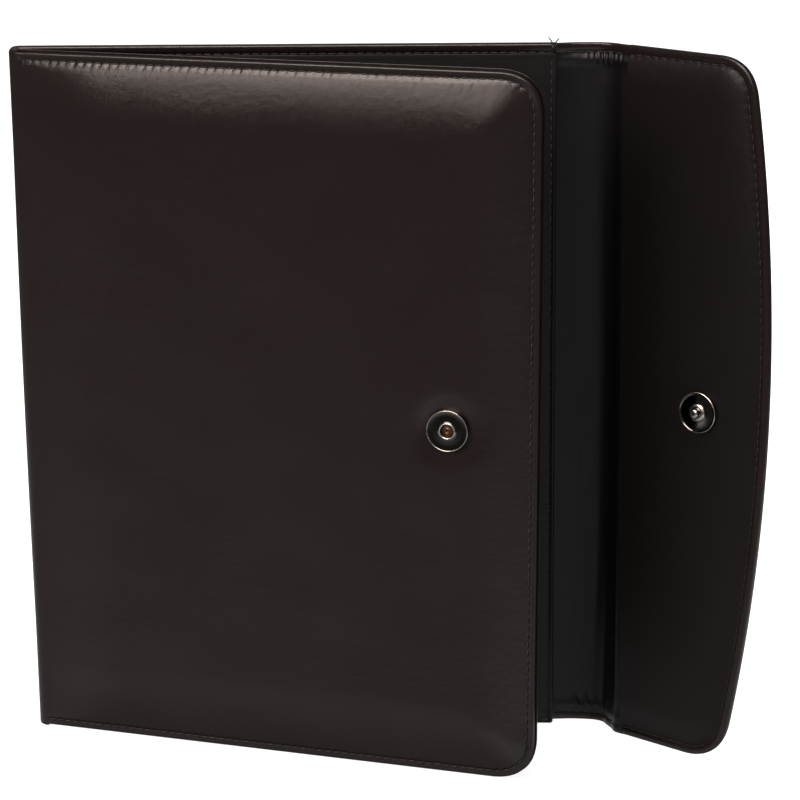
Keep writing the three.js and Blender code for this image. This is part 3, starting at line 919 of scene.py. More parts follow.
class BackCover:
    """Back cover: thin padding on a board, with a turned and stitched hem at foot and top."""

    def __init__(self, plan: CasePlan) -> None:
        """Keeps the plan and draws the pulls beside its seams."""
        self.plan = plan
        self.near = plan.sizes.spine_bend
        self.puckers = Puckers(pitch=HEM_PITCH, depth=0.25, start=SEAM_INSET, seed=23)

    def build(self) -> list[bpy.types.Object]:
        """Makes the cover and its stitches."""
        s = self.plan.sizes
        levels = hemmed_levels(s.height, 26.0, 34)
        edge = np.minimum(levels, s.height - levels)
        plain = -np.interp(edge, *np.array(Spine.EDGE).T)
        padding = hem_height(edge, s.back_padding)
        inside = hem_height(edge, 0.2)
        across = np.linspace(self.near, s.back_width, 320)
        loops = []
        for x in across:
            near = float(eased(self.near, self.near + 6.0, np.float64(x)))
            full = float(eased(self.near - 8.0, self.near + 30.0, np.float64(x)))
            far = 1 - float(eased(s.back_width - 24.0, s.back_width, np.float64(x)))
            depth = np.array([self.puckers.depth_at(np.float64(x), float(e)) for e in edge])
            depth = np.where((edge > SEAM_INSET) & (edge < 13.0), depth, 0.0)
            dressed = padding - depth
            raised = mixed(np.minimum(dressed, 0.15), dressed, min(full, far))
            wave = 0.12 * ripple(np.full(len(levels), x), levels, 80.0, 31) * (edge > 12)
            outside = mixed(plain, raised, near) + wave * near * far
            lining = -s.back_edge - mixed(plain, inside, near)
            column = np.full(2 * len(levels), x)
            z = np.concatenate([levels, levels[::-1]])
            out = np.concatenate([outside, lining[::-1]])
            loops.append(self.plan.on_back(column, z, out))
        pieces = [swept_wall("back_cover_leather", loops)]
        thread = Thread(HEM_PITCH)
        fine = np.linspace(self.near + 1.0, s.back_width, 400)

        inner = flipped(self.plan.on_back)
        for row, z in (("foot", SEAM_INSET), ("top", s.height - SEAM_INSET)):
            line = np.stack([fine, np.full_like(fine, z)], axis=-1)
            sink = np.full_like(fine, HEM[-1][1] + 0.2)
            pieces.append(thread.sew(f"back_{row}_stitches", self.plan.on_back, line, sink))
            pieces.append(thread.sew(f"back_{row}_inner_stitches", inner, line, s.back_edge + sink))
        z = np.linspace(5.0, s.height - 5.0, 400)
        line = np.stack([np.full_like(z, s.back_width - InnerPanel.GROOVE), z], axis=-1)
        edge = np.minimum(z, s.height - z)
        flat = np.minimum(hem_height(edge, s.back_padding), 0.15)
        pieces.append(thread.sew("back_side_stitches", self.plan.on_back, line, flat - 0.03))
        return pieces


class InnerPanel:
    """Lined panel inside the back cover, stitched down its side at the gusset."""

    GROOVE = 2.3
    BACK = ((20.0, -4.6), (10.0, -4.6), (4.0, -4.6), (1.0, -4.6))
    RIM = (
        (0.3, -4.4), (0.0, -3.8), (0.0, -1.6), (0.05, -0.9), (0.25, -0.4), (0.6, -0.08),
        (1.0, 0.02), (1.4, -0.06), (1.8, -0.3), (2.1, -0.5),
    )
    FLOOR = -0.55
    # How far below the top the panel ends, under the back cover's hem
    BELOW_HEM = 4.4
    # Knotted thread ends: across the seam, above the hem's edge and out of the hem
    ENDS = (
        ((-0.2, -3.4, 0.1), (0.2, -1.6, 0.5), (-0.4, 0.1, 0.5), (-1.2, 1.5, 0.3), (-2.3, 2.8, 0.0)),
        ((0.9, -3.0, 0.1), (-0.3, -1.7, 0.6), (0.5, 0.0, 0.5), (1.3, 1.2, 0.3), (2.4, 2.4, 0.1)),
        ((-1.0, -0.9, 0.3), (0.0, -1.3, 0.7), (1.1, -0.9, 0.5), (1.9, -1.8, 0.3)),
        ((-1.6, -2.2, 0.2), (-0.4, -1.5, 0.7), (0.8, -2.1, 0.5), (1.3, -3.1, 0.2)),
        ((1.4, -1.2, 0.2), (1.5, -2.6, 0.4), (1.1, -3.8, 0.3), (1.2, -4.6, 0.0)),
    )

    def __init__(self, plan: CasePlan) -> None:
        """Sets out the panel's outline and its seam."""
        self.plan = plan
        s = plan.sizes
        self.outline = Outline(
            near=s.panel_start, foot=0.0, top=s.height - self.BELOW_HEM,
            far_at=lambda z: np.full_like(z, s.back_width), corners=(1.2, 1.2), steps=(160, 8, 480),
        )
        self.puckers = Puckers(pitch=4.1, depth=0.22, start=self.GROOVE, seed=37)

    def place(self, across: np.ndarray, z: np.ndarray, out: np.ndarray) -> np.ndarray:
        """Points of the panel, which lies flatter under the hem at its top."""
        s = self.plan.sizes
        below = np.clip((self.outline.top - z) / 90.0, 0.0, 1.0)
        flat = (1 - below) ** 2 * (s.panel_thickness - 0.2)
        squeezed = out - flat * (out + s.panel_thickness) / s.panel_thickness
        return self.plan.on_panel(across, z, np.maximum(squeezed, -s.panel_thickness))

    def height(
        self, across: np.ndarray, up: np.ndarray, inset: float, along: np.ndarray | None
    ) -> np.ndarray:
        """Height that the seam's groove, padding and pulls add to a ring of the face."""
        s = self.plan.sizes
        from_side = eased(12.0, 3.0, s.back_width - across)
        if inset < self.GROOVE:
            low = np.interp(inset, (0.9, 2.1), (0.0, 0.5))
            return low * (1 - from_side)
        share = swell(inset - self.GROOVE, 20.0)
        total = (0.6 - self.FLOOR) * share + 0.5 * (1 - share) * (1 - from_side)
        if along is not None:
            total = total - self.puckers.depth_at(along, inset) * from_side
        soft = eased(3.0, 14.0, np.float64(inset))
        return total + 0.15 * ripple(across, up, 70.0, 41) * soft

    def build(self) -> list[bpy.types.Object]:
        """Makes the panel and the stitches of its side seam."""
        shell = PanelMesh(self.outline, self.place, self.GROOVE)
        back = [SeamRing(i, out, coarseness(i, 8.0, 15.0)) for i, out in self.BACK]
        face = [SeamRing(i, out) for i, out in self.RIM]
        face += field_rings(self.GROOVE, 22.0, self.FLOOR, (5.0, 10.0), 0.8)
        panel = leather_object("inner_panel_lining", *shell.build(back, face, self.height))
        s = self.plan.sizes
        z = np.linspace(1.5, s.height - 4.6, 500)
        line = np.stack([np.full_like(z, s.back_width - self.GROOVE), z], axis=-1)
        thread = Thread(pitch=4.1, radius=0.36)
        sink = np.full_like(z, self.FLOOR)
        row = thread.sew("inner_panel_stitches", self.place, line, sink)
        return [panel, row, self.thread_ends()]

    def thread_ends(self) -> bpy.types.Object:
        """The knotted ends of the seam's threads, which stick up over the hem."""
        s = self.plan.sizes
        middle = s.back_width - self.GROOVE + 0.9
        paths = []
        for steps in self.ENDS:
            knots = np.array(steps, float)
            fine = np.linspace(0, len(knots) - 1, 14)
            across, z, out = (np.interp(fine, range(len(knots)), knots[:, k]) for k in range(3))
            paths.append(
                self.plan.on_back(middle + across, s.height + z, -s.back_edge - 0.35 - out)
            )
        return strands("seam_thread_ends", paths, 0.33)


class Gusset:
    """Soft leather between the back cover and the flap, gathered into its two hems."""

    # Small folds beside the hems: place, half width, height and slant, in shares of the width
    TOP_GATHERS = (
        (0.28, 0.03, 0.1, 0.002), (0.4, 0.022, 0.15, 0.0), (0.48, 0.018, 0.25, 0.001),
        (0.56, 0.02, 0.36, -0.001), (0.635, 0.017, 0.3, 0.001), (0.71, 0.021, 0.4, 0.0),
        (0.79, 0.018, 0.3, -0.001), (0.87, 0.018, 0.25, 0.0),
    )
    FOOT_GATHERS = (
        (0.27, 0.024, 0.5, -0.006), (0.4, 0.022, 0.42, -0.006), (0.52, 0.02, 0.34, -0.005),
        (0.66, 0.018, 0.34, -0.003), (0.8, 0.016, 0.3, 0.0),
    )
    CREASES = 26
    # The leather inside the hems: distance from the edge and height
    BESIDE_HEM = (
        (4.4, -0.5), (5.0, -0.34), (6.0, 0.1), (7.0, 0.42), (7.6, 0.47), (8.4, 0.32),
        (9.4, -0.05), (10.5, -0.26), (12.0, -0.3), (18.0, 0.0),
    )

    def __init__(self, plan: CasePlan) -> None:
        """Keeps the plan and draws the creases."""
        self.plan = plan
        draw = random.Random(53)
        self.creases = [
            (draw.uniform(0.05, 0.95), draw.uniform(0, plan.sizes.height), draw.uniform(18, 60),
             draw.uniform(0.05, 0.22), draw.uniform(0.03, 0.08), draw.uniform(-0.0006, 0.0006))
            for _ in range(self.CREASES)
        ]

    def relief(self, share: np.ndarray, z: float) -> np.ndarray:
        """Height of the face towards the reader, from hems, gathers and creases."""
        s = self.plan.sizes
        edge = min(z, s.height - z)
        inside = np.sin(math.pi * share) ** 0.6
        hem = float(np.interp(edge, *np.array([*HEM, *self.BESIDE_HEM]).T))
        gathers, middle, slack = (
            (self.TOP_GATHERS, 6.2, 1.0) if z > s.height / 2 else (self.FOOT_GATHERS, 9.0, 0.35)
        )
        soft = slack if edge > 1.5 else 1.0
        total = hem * soft * (0.35 + 0.65 * inside)
        in_hem = float(np.interp(edge, (0.0, 1.5, 4.0, 4.8), (0.0, 0.3, 0.35, 1.0)))
        for at, width, height, slant in gathers:
            centre = at + slant * (edge - middle)
            reach = 3.0 if edge < middle else 2.2 + 1.2 * height
            fade = math.exp(-(((edge - middle) / reach) ** 2)) * in_hem
            fold = np.exp(-(((share - centre) / width) ** 2))
            beside = np.exp(-(((share - centre - 1.9 * width) / width) ** 2))
            total = total + height * fade * (fold - 0.8 * beside)
        for at, middle, length, depth, width, slope in self.creases:
            centre = at + slope * (z - middle)
            fade = math.exp(-(((z - middle) / length) ** 2))
            total = total + depth * fade * np.exp(-(((share - centre) / width) ** 2)) * inside
        return total

    @staticmethod
    def tucked(line: np.ndarray) -> np.ndarray:
        """The line with its two ends pushed into the leather that they are sewn to."""
        first, last = line[1] - line[0], line[-1] - line[-2]
        before = line[0] - first / np.linalg.norm(first) * 0.9
        after = line[-1] + last / np.linalg.norm(last) * 0.9
        return np.concatenate([[before], line, [after]])

    def build(self) -> list[bpy.types.Object]:
        """Makes the gusset and the stitches of its hems."""
        s = self.plan.sizes
        levels = hemmed_levels(s.height, 16.0, 44)
        shares = np.linspace(0, 1, 150)
        face, rear = [], []
        for z in levels:
            path, behind = self.plan.gusset_plan(float(z), shares)
            edge = min(z, s.height - z)
            toward = self.relief(shares, float(z))
            outer = float(hem_height(np.float64(edge), 0.5))
            deep = s.gusset_wall + 0.6 * outer - 0.7 * (toward + 0.2) * (edge > SEAM_INSET)
            front = path - behind * toward[:, None]
            back = path + behind * deep[:, None]
            front, back = self.tucked(front), self.tucked(back)
            face.append(self.plan.metres(front[:, 0], front[:, 1], np.float64(z)))
            rear.append(self.plan.metres(back[:, 0], back[:, 1], np.float64(z)))
        loops = list(np.stack(face + rear[::-1], axis=1))
        pieces = [swept_wall("gusset_leather", loops)]
        hemmed = [
            face.index for face in pieces[0].data.polygons
            if min(face.center.z / MILLI, s.height - face.center.z / MILLI) < SEAM_INSET
        ]
        second_finish(pieces[0], hemmed)
        thread = Thread(HEM_PITCH)

        def inner(a: np.ndarray, z: np.ndarray, out: np.ndarray) -> np.ndarray:
            """Points of the face towards the reader, by share of its width."""
            rows = [self.plan.gusset_plan(float(h), np.array([x])) for x, h in zip(a, z)]
            spot = np.array([p[0] - b[0] * o for (p, b), o in zip(rows, out)])
            return self.plan.metres(spot[:, 0], spot[:, 1], z)

        outer_side = flipped(inner, s.gusset_wall)
        fine = np.linspace(0.01, 0.99, 90)
        for row, z in (("foot", SEAM_INSET), ("top", s.height - SEAM_INSET)):
            line = np.stack([fine, np.full_like(fine, z)], axis=-1)
            sink = np.full_like(fine, -0.3)
            pieces.append(thread.sew(f"gusset_{row}_inner_stitches", inner, line, sink))
            pieces.append(thread.sew(f"gusset_{row}_stitches", outer_side, line, sink + 0.2))
        return pieces


class Flap:
    """Stiffened flap: leather outside, and inside a stitched hem round a thin lining."""

    GROOVE = SEAM_INSET
    FACE_FLOOR = -0.5

    def __init__(self, plan: CasePlan) -> None:
        """Sets out the flap's lined side and outline, and draws its pulls."""
        self.plan = plan
        self.toward = flipped(plan.behind_flap)
        s = plan.sizes
        self.outline = Outline(
            near=0.0, foot=0.0, top=s.height, far_at=plan.flap_width_at,
            corners=(s.flap_foot_corner, s.flap_top_corner), steps=(64, 40, 432),
        )
        self.puckers = Puckers(pitch=HEM_PITCH, depth=0.22, start=self.GROOVE, seed=67)

    def outside(self, across: np.ndarray, z: np.ndarray, out: np.ndarray) -> np.ndarray:
        """Points of the flap's outer side, by height out of it."""
        return self.plan.behind_flap(across, z, self.plan.sizes.flap_edge + out)

    def face_height(
        self, across: np.ndarray, up: np.ndarray, inset: float, along: np.ndarray | None
    ) -> np.ndarray:
        """Height of the lining inside the hem."""
        if inset < self.GROOVE:
            return 0.06 * ripple(across, up, 22.0, 71) * eased(0.7, 2.0, np.float64(inset))
        share = swell(inset - self.GROOVE, 14.0, 0.2)
        total = (1.75 - self.FACE_FLOOR) * share
        if along is not None:
            total = total - self.puckers.depth_at(along, inset)
        soft = eased(5.0, 14.0, np.float64(inset))
        return total + 0.12 * ripple(across, up, 60.0, 73) * soft

    def build(self) -> list[bpy.types.Object]:
        """Makes the flap and the stitches of both its sides."""
        s = self.plan.sizes
        shell = PanelMesh(self.outline, self.toward, self.GROOVE)
        back = []
        for inset in reversed(swell_rings(self.GROOVE, 17.0, 0.9)):
            beyond = inset - self.GROOVE
            rise = float(swell(np.float64(beyond), 16.0, 0.35))
            out = self.FACE_FLOOR + (s.flap_padding - self.FACE_FLOOR) * rise
            back.append(SeamRing(inset, -s.flap_edge - out, coarseness(beyond, 7.0, 12.0)))
        back += [SeamRing(i, -s.flap_edge - o) for i, o in reversed(HEM[1:-1])]
        face = [SeamRing(0.0, -s.flap_edge + 0.9), SeamRing(0.0, -1.3)]
        face += [SeamRing(i, o) for i, o in HEM[1:-1]]
        face += field_rings(self.GROOVE, 18.0, self.FACE_FLOOR, (8.0, 13.0))
        flap = leather_object("flap_leather", *shell.build(back, face, self.face_height))
        second_finish(flap, shell.field_faces)
        line = self.outline.ring(self.GROOVE, 0)
        thread = Thread(HEM_PITCH)
        sink = np.full(len(line), self.FACE_FLOOR + 0.2)
        face_row = thread.sew("flap_inner_stitches", self.toward, line, sink)
        outer_row = thread.sew("flap_stitches", self.outside, line, sink)
        return [flap, face_row, outer_row]


class Snap:
    """Magnetic snap: a socket with its rivet on the cover, and a stud on the flap's lining."""

    # Half sections of the turned pieces: radius and height, from the base up
    SOCKET = (
        (8.9, -1.3), (9.15, 0.0), (9.3, 0.4), (9.3, 1.16), (9.27, 1.32), (9.19, 1.42),
        (9.08, 1.45), (8.98, 1.4), (8.92, 1.28), (8.84, 1.14), (8.2, 1.07), (6.4, 1.09),
        (4.4, 1.12), (3.98, 1.14), (3.87, 1.26), (3.82, 1.5), (3.73, 1.7), (3.58, 1.83),
        (3.4, 1.87), (3.22, 1.82), (3.07, 1.67), (2.98, 1.45), (2.9, 0.2),
    )
    RIVET = (
        (2.7, -0.2), (2.7, 0.5), (2.5, 0.66), (2.1, 0.7), (1.6, 0.68), (1.4, 0.84), (1.22, 1.1),
        (1.0, 1.14), (0.84, 1.0), (0.74, 0.7), (0.6, 0.64),
    )
    STUD = (
        (8.9, -0.4), (9.15, 0.0), (9.3, 0.4), (9.3, 1.0), (9.25, 1.25), (9.12, 1.42),
        (8.97, 1.46), (8.84, 1.4), (8.76, 1.25), (8.6, 1.14), (8.0, 1.12), (4.6, 1.24),
        (3.9, 1.42), (3.6, 1.75), (3.3, 1.9), (2.7, 1.9), (2.35, 2.0), (2.14, 2.3), (2.1, 3.7),
        (2.0, 4.15), (1.75, 4.45), (1.35, 4.58), (0.7, 4.6),
    )
    SEGMENTS = 72
    # Raised edges that are buffed bright: inner and outer radius and lowest height
    BUFFED = ((2.99, 3.84, 1.5), (8.93, 9.4, 1.0), (1.5, 2.5, 4.2), (0.8, 1.3, 0.8))

    def __init__(self, plan: CasePlan) -> None:
        """Finds where both halves sit."""
        self.plan = plan
        s = plan.sizes
        self.up = s.height / 2 + s.snap_rise
        self.socket_seat = (plan.on_front, s.front_width - s.snap_inset, s.front_padding + s.gap)
        on_lining = s.gap + s.lining_thickness + s.lining_padding + s.gap
        self.stud_seat = (flipped(plan.behind_flap), s.snap_inset, on_lining)

    def seat(self, place: Place, across: float, out: float) -> Matrix:
        """Matrix that stands a turned piece on a surface, square to it."""
        a, z, o = np.float64(across), np.float64(self.up), np.float64(out)
        middle = Vector(place(a, z, o))
        side = (Vector(place(a + 1.0, z, o)) - middle).normalized()
        up = (Vector(place(a, z + 1.0, o)) - middle).normalized()
        outward = Vector(place(a, z, o + 1.0)) - middle
        normal = side.cross(up).normalized()
        if normal.dot(outward) < 0:
            normal.negate()
        turn = Matrix((side, normal.cross(side), normal)).transposed().to_4x4()
        return Matrix.Translation(middle) @ turn

    def turned(
        self, name: str, profile: Sequence[tuple[float, float]], seat: tuple[Place, float, float]
    ) -> bpy.types.Object:
        """Models a turned piece from its base up, by extruding and scaling its top face.

        Args:
            name: the piece's name.
            profile: radius and height of each edge of its half section.
            seat: the surface's place function, and where on it the piece stands.

        Returns:
            The piece in its place.
        """
        bpy.ops.object.select_all(action="DESELECT")
        radius, height = profile[0]
        bpy.ops.mesh.primitive_circle_add(
            vertices=self.SEGMENTS, radius=radius * MILLI, fill_type="NGON",
            location=(0.0, 0.0, 0.0),
        )
        piece = bpy.context.object
        piece.name = piece.data.name = name
        bpy.ops.object.mode_set(mode="EDIT")
        bpy.ops.mesh.select_all(action="SELECT")
        bpy.ops.transform.translate(value=(0.0, 0.0, height * MILLI))
        for next_radius, next_height in profile[1:]:
            rise = (0.0, 0.0, (next_height - height) * MILLI)
            bpy.ops.mesh.extrude_region_move(TRANSFORM_OT_translate={"value": rise})
            ratio = next_radius / radius
            bpy.ops.transform.resize(value=(ratio, ratio, 1.0))
            radius, height = next_radius, next_height
        bpy.ops.mesh.select_all(action="SELECT")
        bpy.ops.mesh.normals_make_consistent(inside=False)
        bpy.ops.object.mode_set(mode="OBJECT")
        bpy.ops.object.shade_smooth_by_angle(angle=math.radians(50.0))
        buffed = [
            face.index for face in piece.data.polygons
            if any(
                low < math.hypot(face.center.x, face.center.y) / MILLI < high
                and face.center.z / MILLI > base
                for low, high, base in self.BUFFED
            )
        ]
        second_finish(piece, buffed)
        piece.matrix_world = self.seat(*seat)
        bpy.ops.object.transform_apply(location=True, rotation=True, scale=True)
        return piece

    def build(self) -> list[bpy.types.Object]:
        """Makes the socket, its rivet and the stud."""
        return [
            self.turned("snap_socket_disc", self.SOCKET, self.socket_seat),
            self.turned("snap_rivet_head", self.RIVET, self.socket_seat),
            self.turned("snap_stud_disc", self.STUD, self.stud_seat),
        ]


@dataclass(frozen=True)
class PlacedCamera:
    """Camera at the photograph's viewing angle; its frame is square."""

    position: tuple[float, float, float] = (0.0452, -1.2918, 0.5719)
    forward: tuple[float, float, float] = (-0.0301, 0.9537, -0.2991)
    up: tuple[float, float, float] = (-0.0003, 0.2993, 0.9542)
    lens: float = 137.26
    sensor: float = 36.0

    def build(self) -> None:
        """Adds the camera and makes it the scene's."""
        data = bpy.data.cameras.new("reader_camera")
        data.lens, data.sensor_width = self.lens, self.sensor
        data.clip_start, data.clip_end = 0.05, 60.0
        camera = bpy.data.objects.new("reader_camera", data)
        bpy.context.scene.collection.objects.link(camera)
        back = -Vector(self.forward).normalized()
        right = Vector(self.up).cross(back).normalized()
        up = back.cross(right)
        turn = Matrix((right, up, back)).transposed().to_4x4()
        camera.matrix_world = Matrix.Translation(self.position) @ turn
        bpy.context.scene.camera = camera


def linear(hex_colour: str) -> tuple[float, float, float, float]:
    """Linear colour from an sRGB hex value."""
    parts = [int(hex_colour[i : i + 2], 16) / 255 for i in (0, 2, 4)]
    return (*[c / 12.92 if c <= 0.04045 else ((c + 0.055) / 1.055) ** 2.4 for c in parts], 1.0)


def add_node(
    tree: bpy.types.NodeTree, kind: str, settings: dict[str, object] | None = None,
    links: dict[str, bpy.types.NodeSocket] | None = None, **values: object,
) -> bpy.types.Node:
    """Adds a node with its settings, input values and incoming links.

    Args:
        tree: the material's or the world's tree.
        kind: the node's type.
        settings: properties of the node.
        links: the sockets that feed its inputs, by the inputs' names.
        values: input values, with spaces of their names written as underscores.

    Returns:
        The node.
    """
    node = tree.nodes.new(kind)
    for name, value in (settings or {}).items():
        setattr(node, name, value)
    for name, value in values.items():
        node.inputs[name.replace("_", " ")].default_value = value
    for name, socket in (links or {}).items():
        tree.links.new(socket, node.inputs[name])
    return node


def blank_material(name: str) -> tuple[bpy.types.Material, bpy.types.NodeTree]:
    """New material and its tree, without nodes."""
    material = bpy.data.materials.new(name)
    material.use_nodes = True
    tree = material.node_tree
    tree.nodes.clear()
    return material, tree


def add_surface(
    tree: bpy.types.NodeTree, links: dict[str, bpy.types.NodeSocket] | None = None,
    **values: object,
) -> None:
    """Adds the surface's shader, with its input values and links, and the output it feeds."""
    shader = add_node(tree, "ShaderNodeBsdfPrincipled", None, links, **values)
    add_node(tree, "ShaderNodeOutputMaterial", links={"Surface": shader.outputs["BSDF"]})


@dataclass(frozen=True)
class LeatherFinish:
    """Coated split leather: a smooth film with fine pores over a soft uneven base.

    The pores and the mottle that the eye finds in the shine are their bump. Real pores are about
    0.2 mm apart, less than a pixel from the camera, and are drawn coarser so that they show.
    """

    name: str
    dark: str
    light: str
    roughness: float
    # Width and depth of the pores and of the uneven base
    pore: float = 0.75
    pore_depth: float = 0.02
    mottle: float = 3.2
    mottle_depth: float = 0.11
    # Clouds of the two colours in a metre
    clouds: float = 28.0
    specular: float = 0.4

    def build(self) -> bpy.types.Material:
        """Makes the material."""
        material, tree = blank_material(self.name)
        place = add_node(tree, "ShaderNodeTexCoord").outputs["Object"]
        cloud = add_node(
            tree, "ShaderNodeTexNoise", links={"Vector": place}, Scale=self.clouds, Detail=4.0,
            Roughness=0.6,
        )
        colour = add_node(
            tree, "ShaderNodeMix", {"data_type": "RGBA"}, {"Factor": cloud.outputs["Fac"]}
        )
        colour.inputs[6].default_value = linear(self.dark)
        colour.inputs[7].default_value = linear(self.light)
        pores = add_node(
            tree, "ShaderNodeTexVoronoi", {"feature": "DISTANCE_TO_EDGE"}, {"Vector": place},
            Scale=1.0 / (self.pore * MILLI), Randomness=1.0,
        )
        open_pores = add_node(
            tree, "ShaderNodeMapRange", {"interpolation_type": "SMOOTHSTEP"},
            {"Value": pores.outputs["Distance"]}, From_Max=0.35,
        )
        grain = add_node(
            tree, "ShaderNodeTexNoise", links={"Vector": place},
            Scale=1.0 / (self.mottle * MILLI), Detail=5.0, Roughness=0.6,
        )
        shine = add_node(
            tree, "ShaderNodeMapRange", links={"Value": grain.outputs["Fac"]},
            To_Min=self.roughness - 0.05, To_Max=self.roughness + 0.06,
        )
        fine = add_node(
            tree, "ShaderNodeBump", links={"Height": open_pores.outputs["Result"]},
            Strength=1.0, Distance=self.pore_depth * MILLI,
        )
        coarse = add_node(
            tree, "ShaderNodeBump",
            links={"Height": grain.outputs["Fac"], "Normal": fine.outputs["Normal"]},
            Strength=1.0, Distance=self.mottle_depth * MILLI,
        )
        links = {
            "Base Color": colour.outputs[2], "Roughness": shine.outputs["Result"],
            "Normal": coarse.outputs["Normal"],
        }
        add_surface(tree, links, IOR=1.5, Specular_IOR_Level=self.specular)
        return material


@dataclass(frozen=True)
class ThreadFinish:
    """Bonded polyester thread: nearly black, with a dull gleam on its twisted plies."""

    name: str
    colour: str
    roughness: float
    # Width of a ply: real plies are finer, and are drawn coarser so that they show
    ply: float = 0.5

    def build(self) -> bpy.types.Material:
        """Makes the material."""
        material, tree = blank_material(self.name)
        place = add_node(tree, "ShaderNodeTexCoord").outputs["Object"]
        twist = add_node(
            tree, "ShaderNodeTexWave", {"bands_direction": "DIAGONAL"}, {"Vector": place},
            Scale=math.tau / (10.0 * self.ply * MILLI), Distortion=0.4,
        )
        plies = add_node(
            tree, "ShaderNodeBump", links={"Height": twist.outputs["Fac"]}, Strength=1.0,
            Distance=0.05 * MILLI,
        )
        add_surface(
            tree, {"Normal": plies.outputs["Normal"]}, Base_Color=linear(self.colour),
            Roughness=self.roughness, IOR=1.5,
        )
        return material


@dataclass(frozen=True)
class MetalFinish:
    """Polished plate: mirror-like, with a fine uneven haze from handling."""

    name: str
    colour: str
    roughness: float
    # Patches of the haze in a metre
    patches: float = 450.0

    def build(self) -> bpy.types.Material:
        """Makes the material."""
        material, tree = blank_material(self.name)
        place = add_node(tree, "ShaderNodeTexCoord").outputs["Object"]
        haze = add_node(
            tree, "ShaderNodeTexNoise", links={"Vector": place}, Scale=self.patches, Detail=3.0,
        )
        shine = add_node(
            tree, "ShaderNodeMapRange", links={"Value": haze.outputs["Fac"]},
            To_Min=self.roughness * 0.7, To_Max=self.roughness * 1.5,
        )
        links = {"Roughness": shine.outputs["Result"]}
        add_surface(tree, links, Base_Color=linear(self.colour), Metallic=1.0)
        return material


class Light(Enum):
    """What a soft light gives: sheen and mirror light, or even light."""

    SHEEN = "sheen"
    EVEN = "even"


@dataclass(frozen=True)
class Softbox:
    """A square soft light: its middle, the point it faces, its sides and its power in watts."""

    name: str
    at: tuple[float, float, float]
    to: tuple[float, float, float]
    width: float
    height: float
    power: float
    gives: Light

    WARM: ClassVar[tuple[float, float, float]] = (1.0, 0.86, 0.8)

    def build(self) -> None:
        """Adds the light."""
        data = bpy.data.lights.new(self.name, "AREA")
        data.shape, data.size, data.size_y = "RECTANGLE", self.width, self.height
        data.energy = self.power
        if self.gives is Light.SHEEN:
            data.color = self.WARM
        lamp = bpy.data.objects.new(self.name, data)
        bpy.context.scene.collection.objects.link(lamp)
        lamp.location = self.at
        aim = Vector(self.to) - Vector(self.at)
        lamp.rotation_euler = aim.to_track_quat("-Z", "Y").to_euler()
        lamp.visible_diffuse = self.gives is Light.EVEN
        lamp.visible_glossy = self.gives is Light.SHEEN


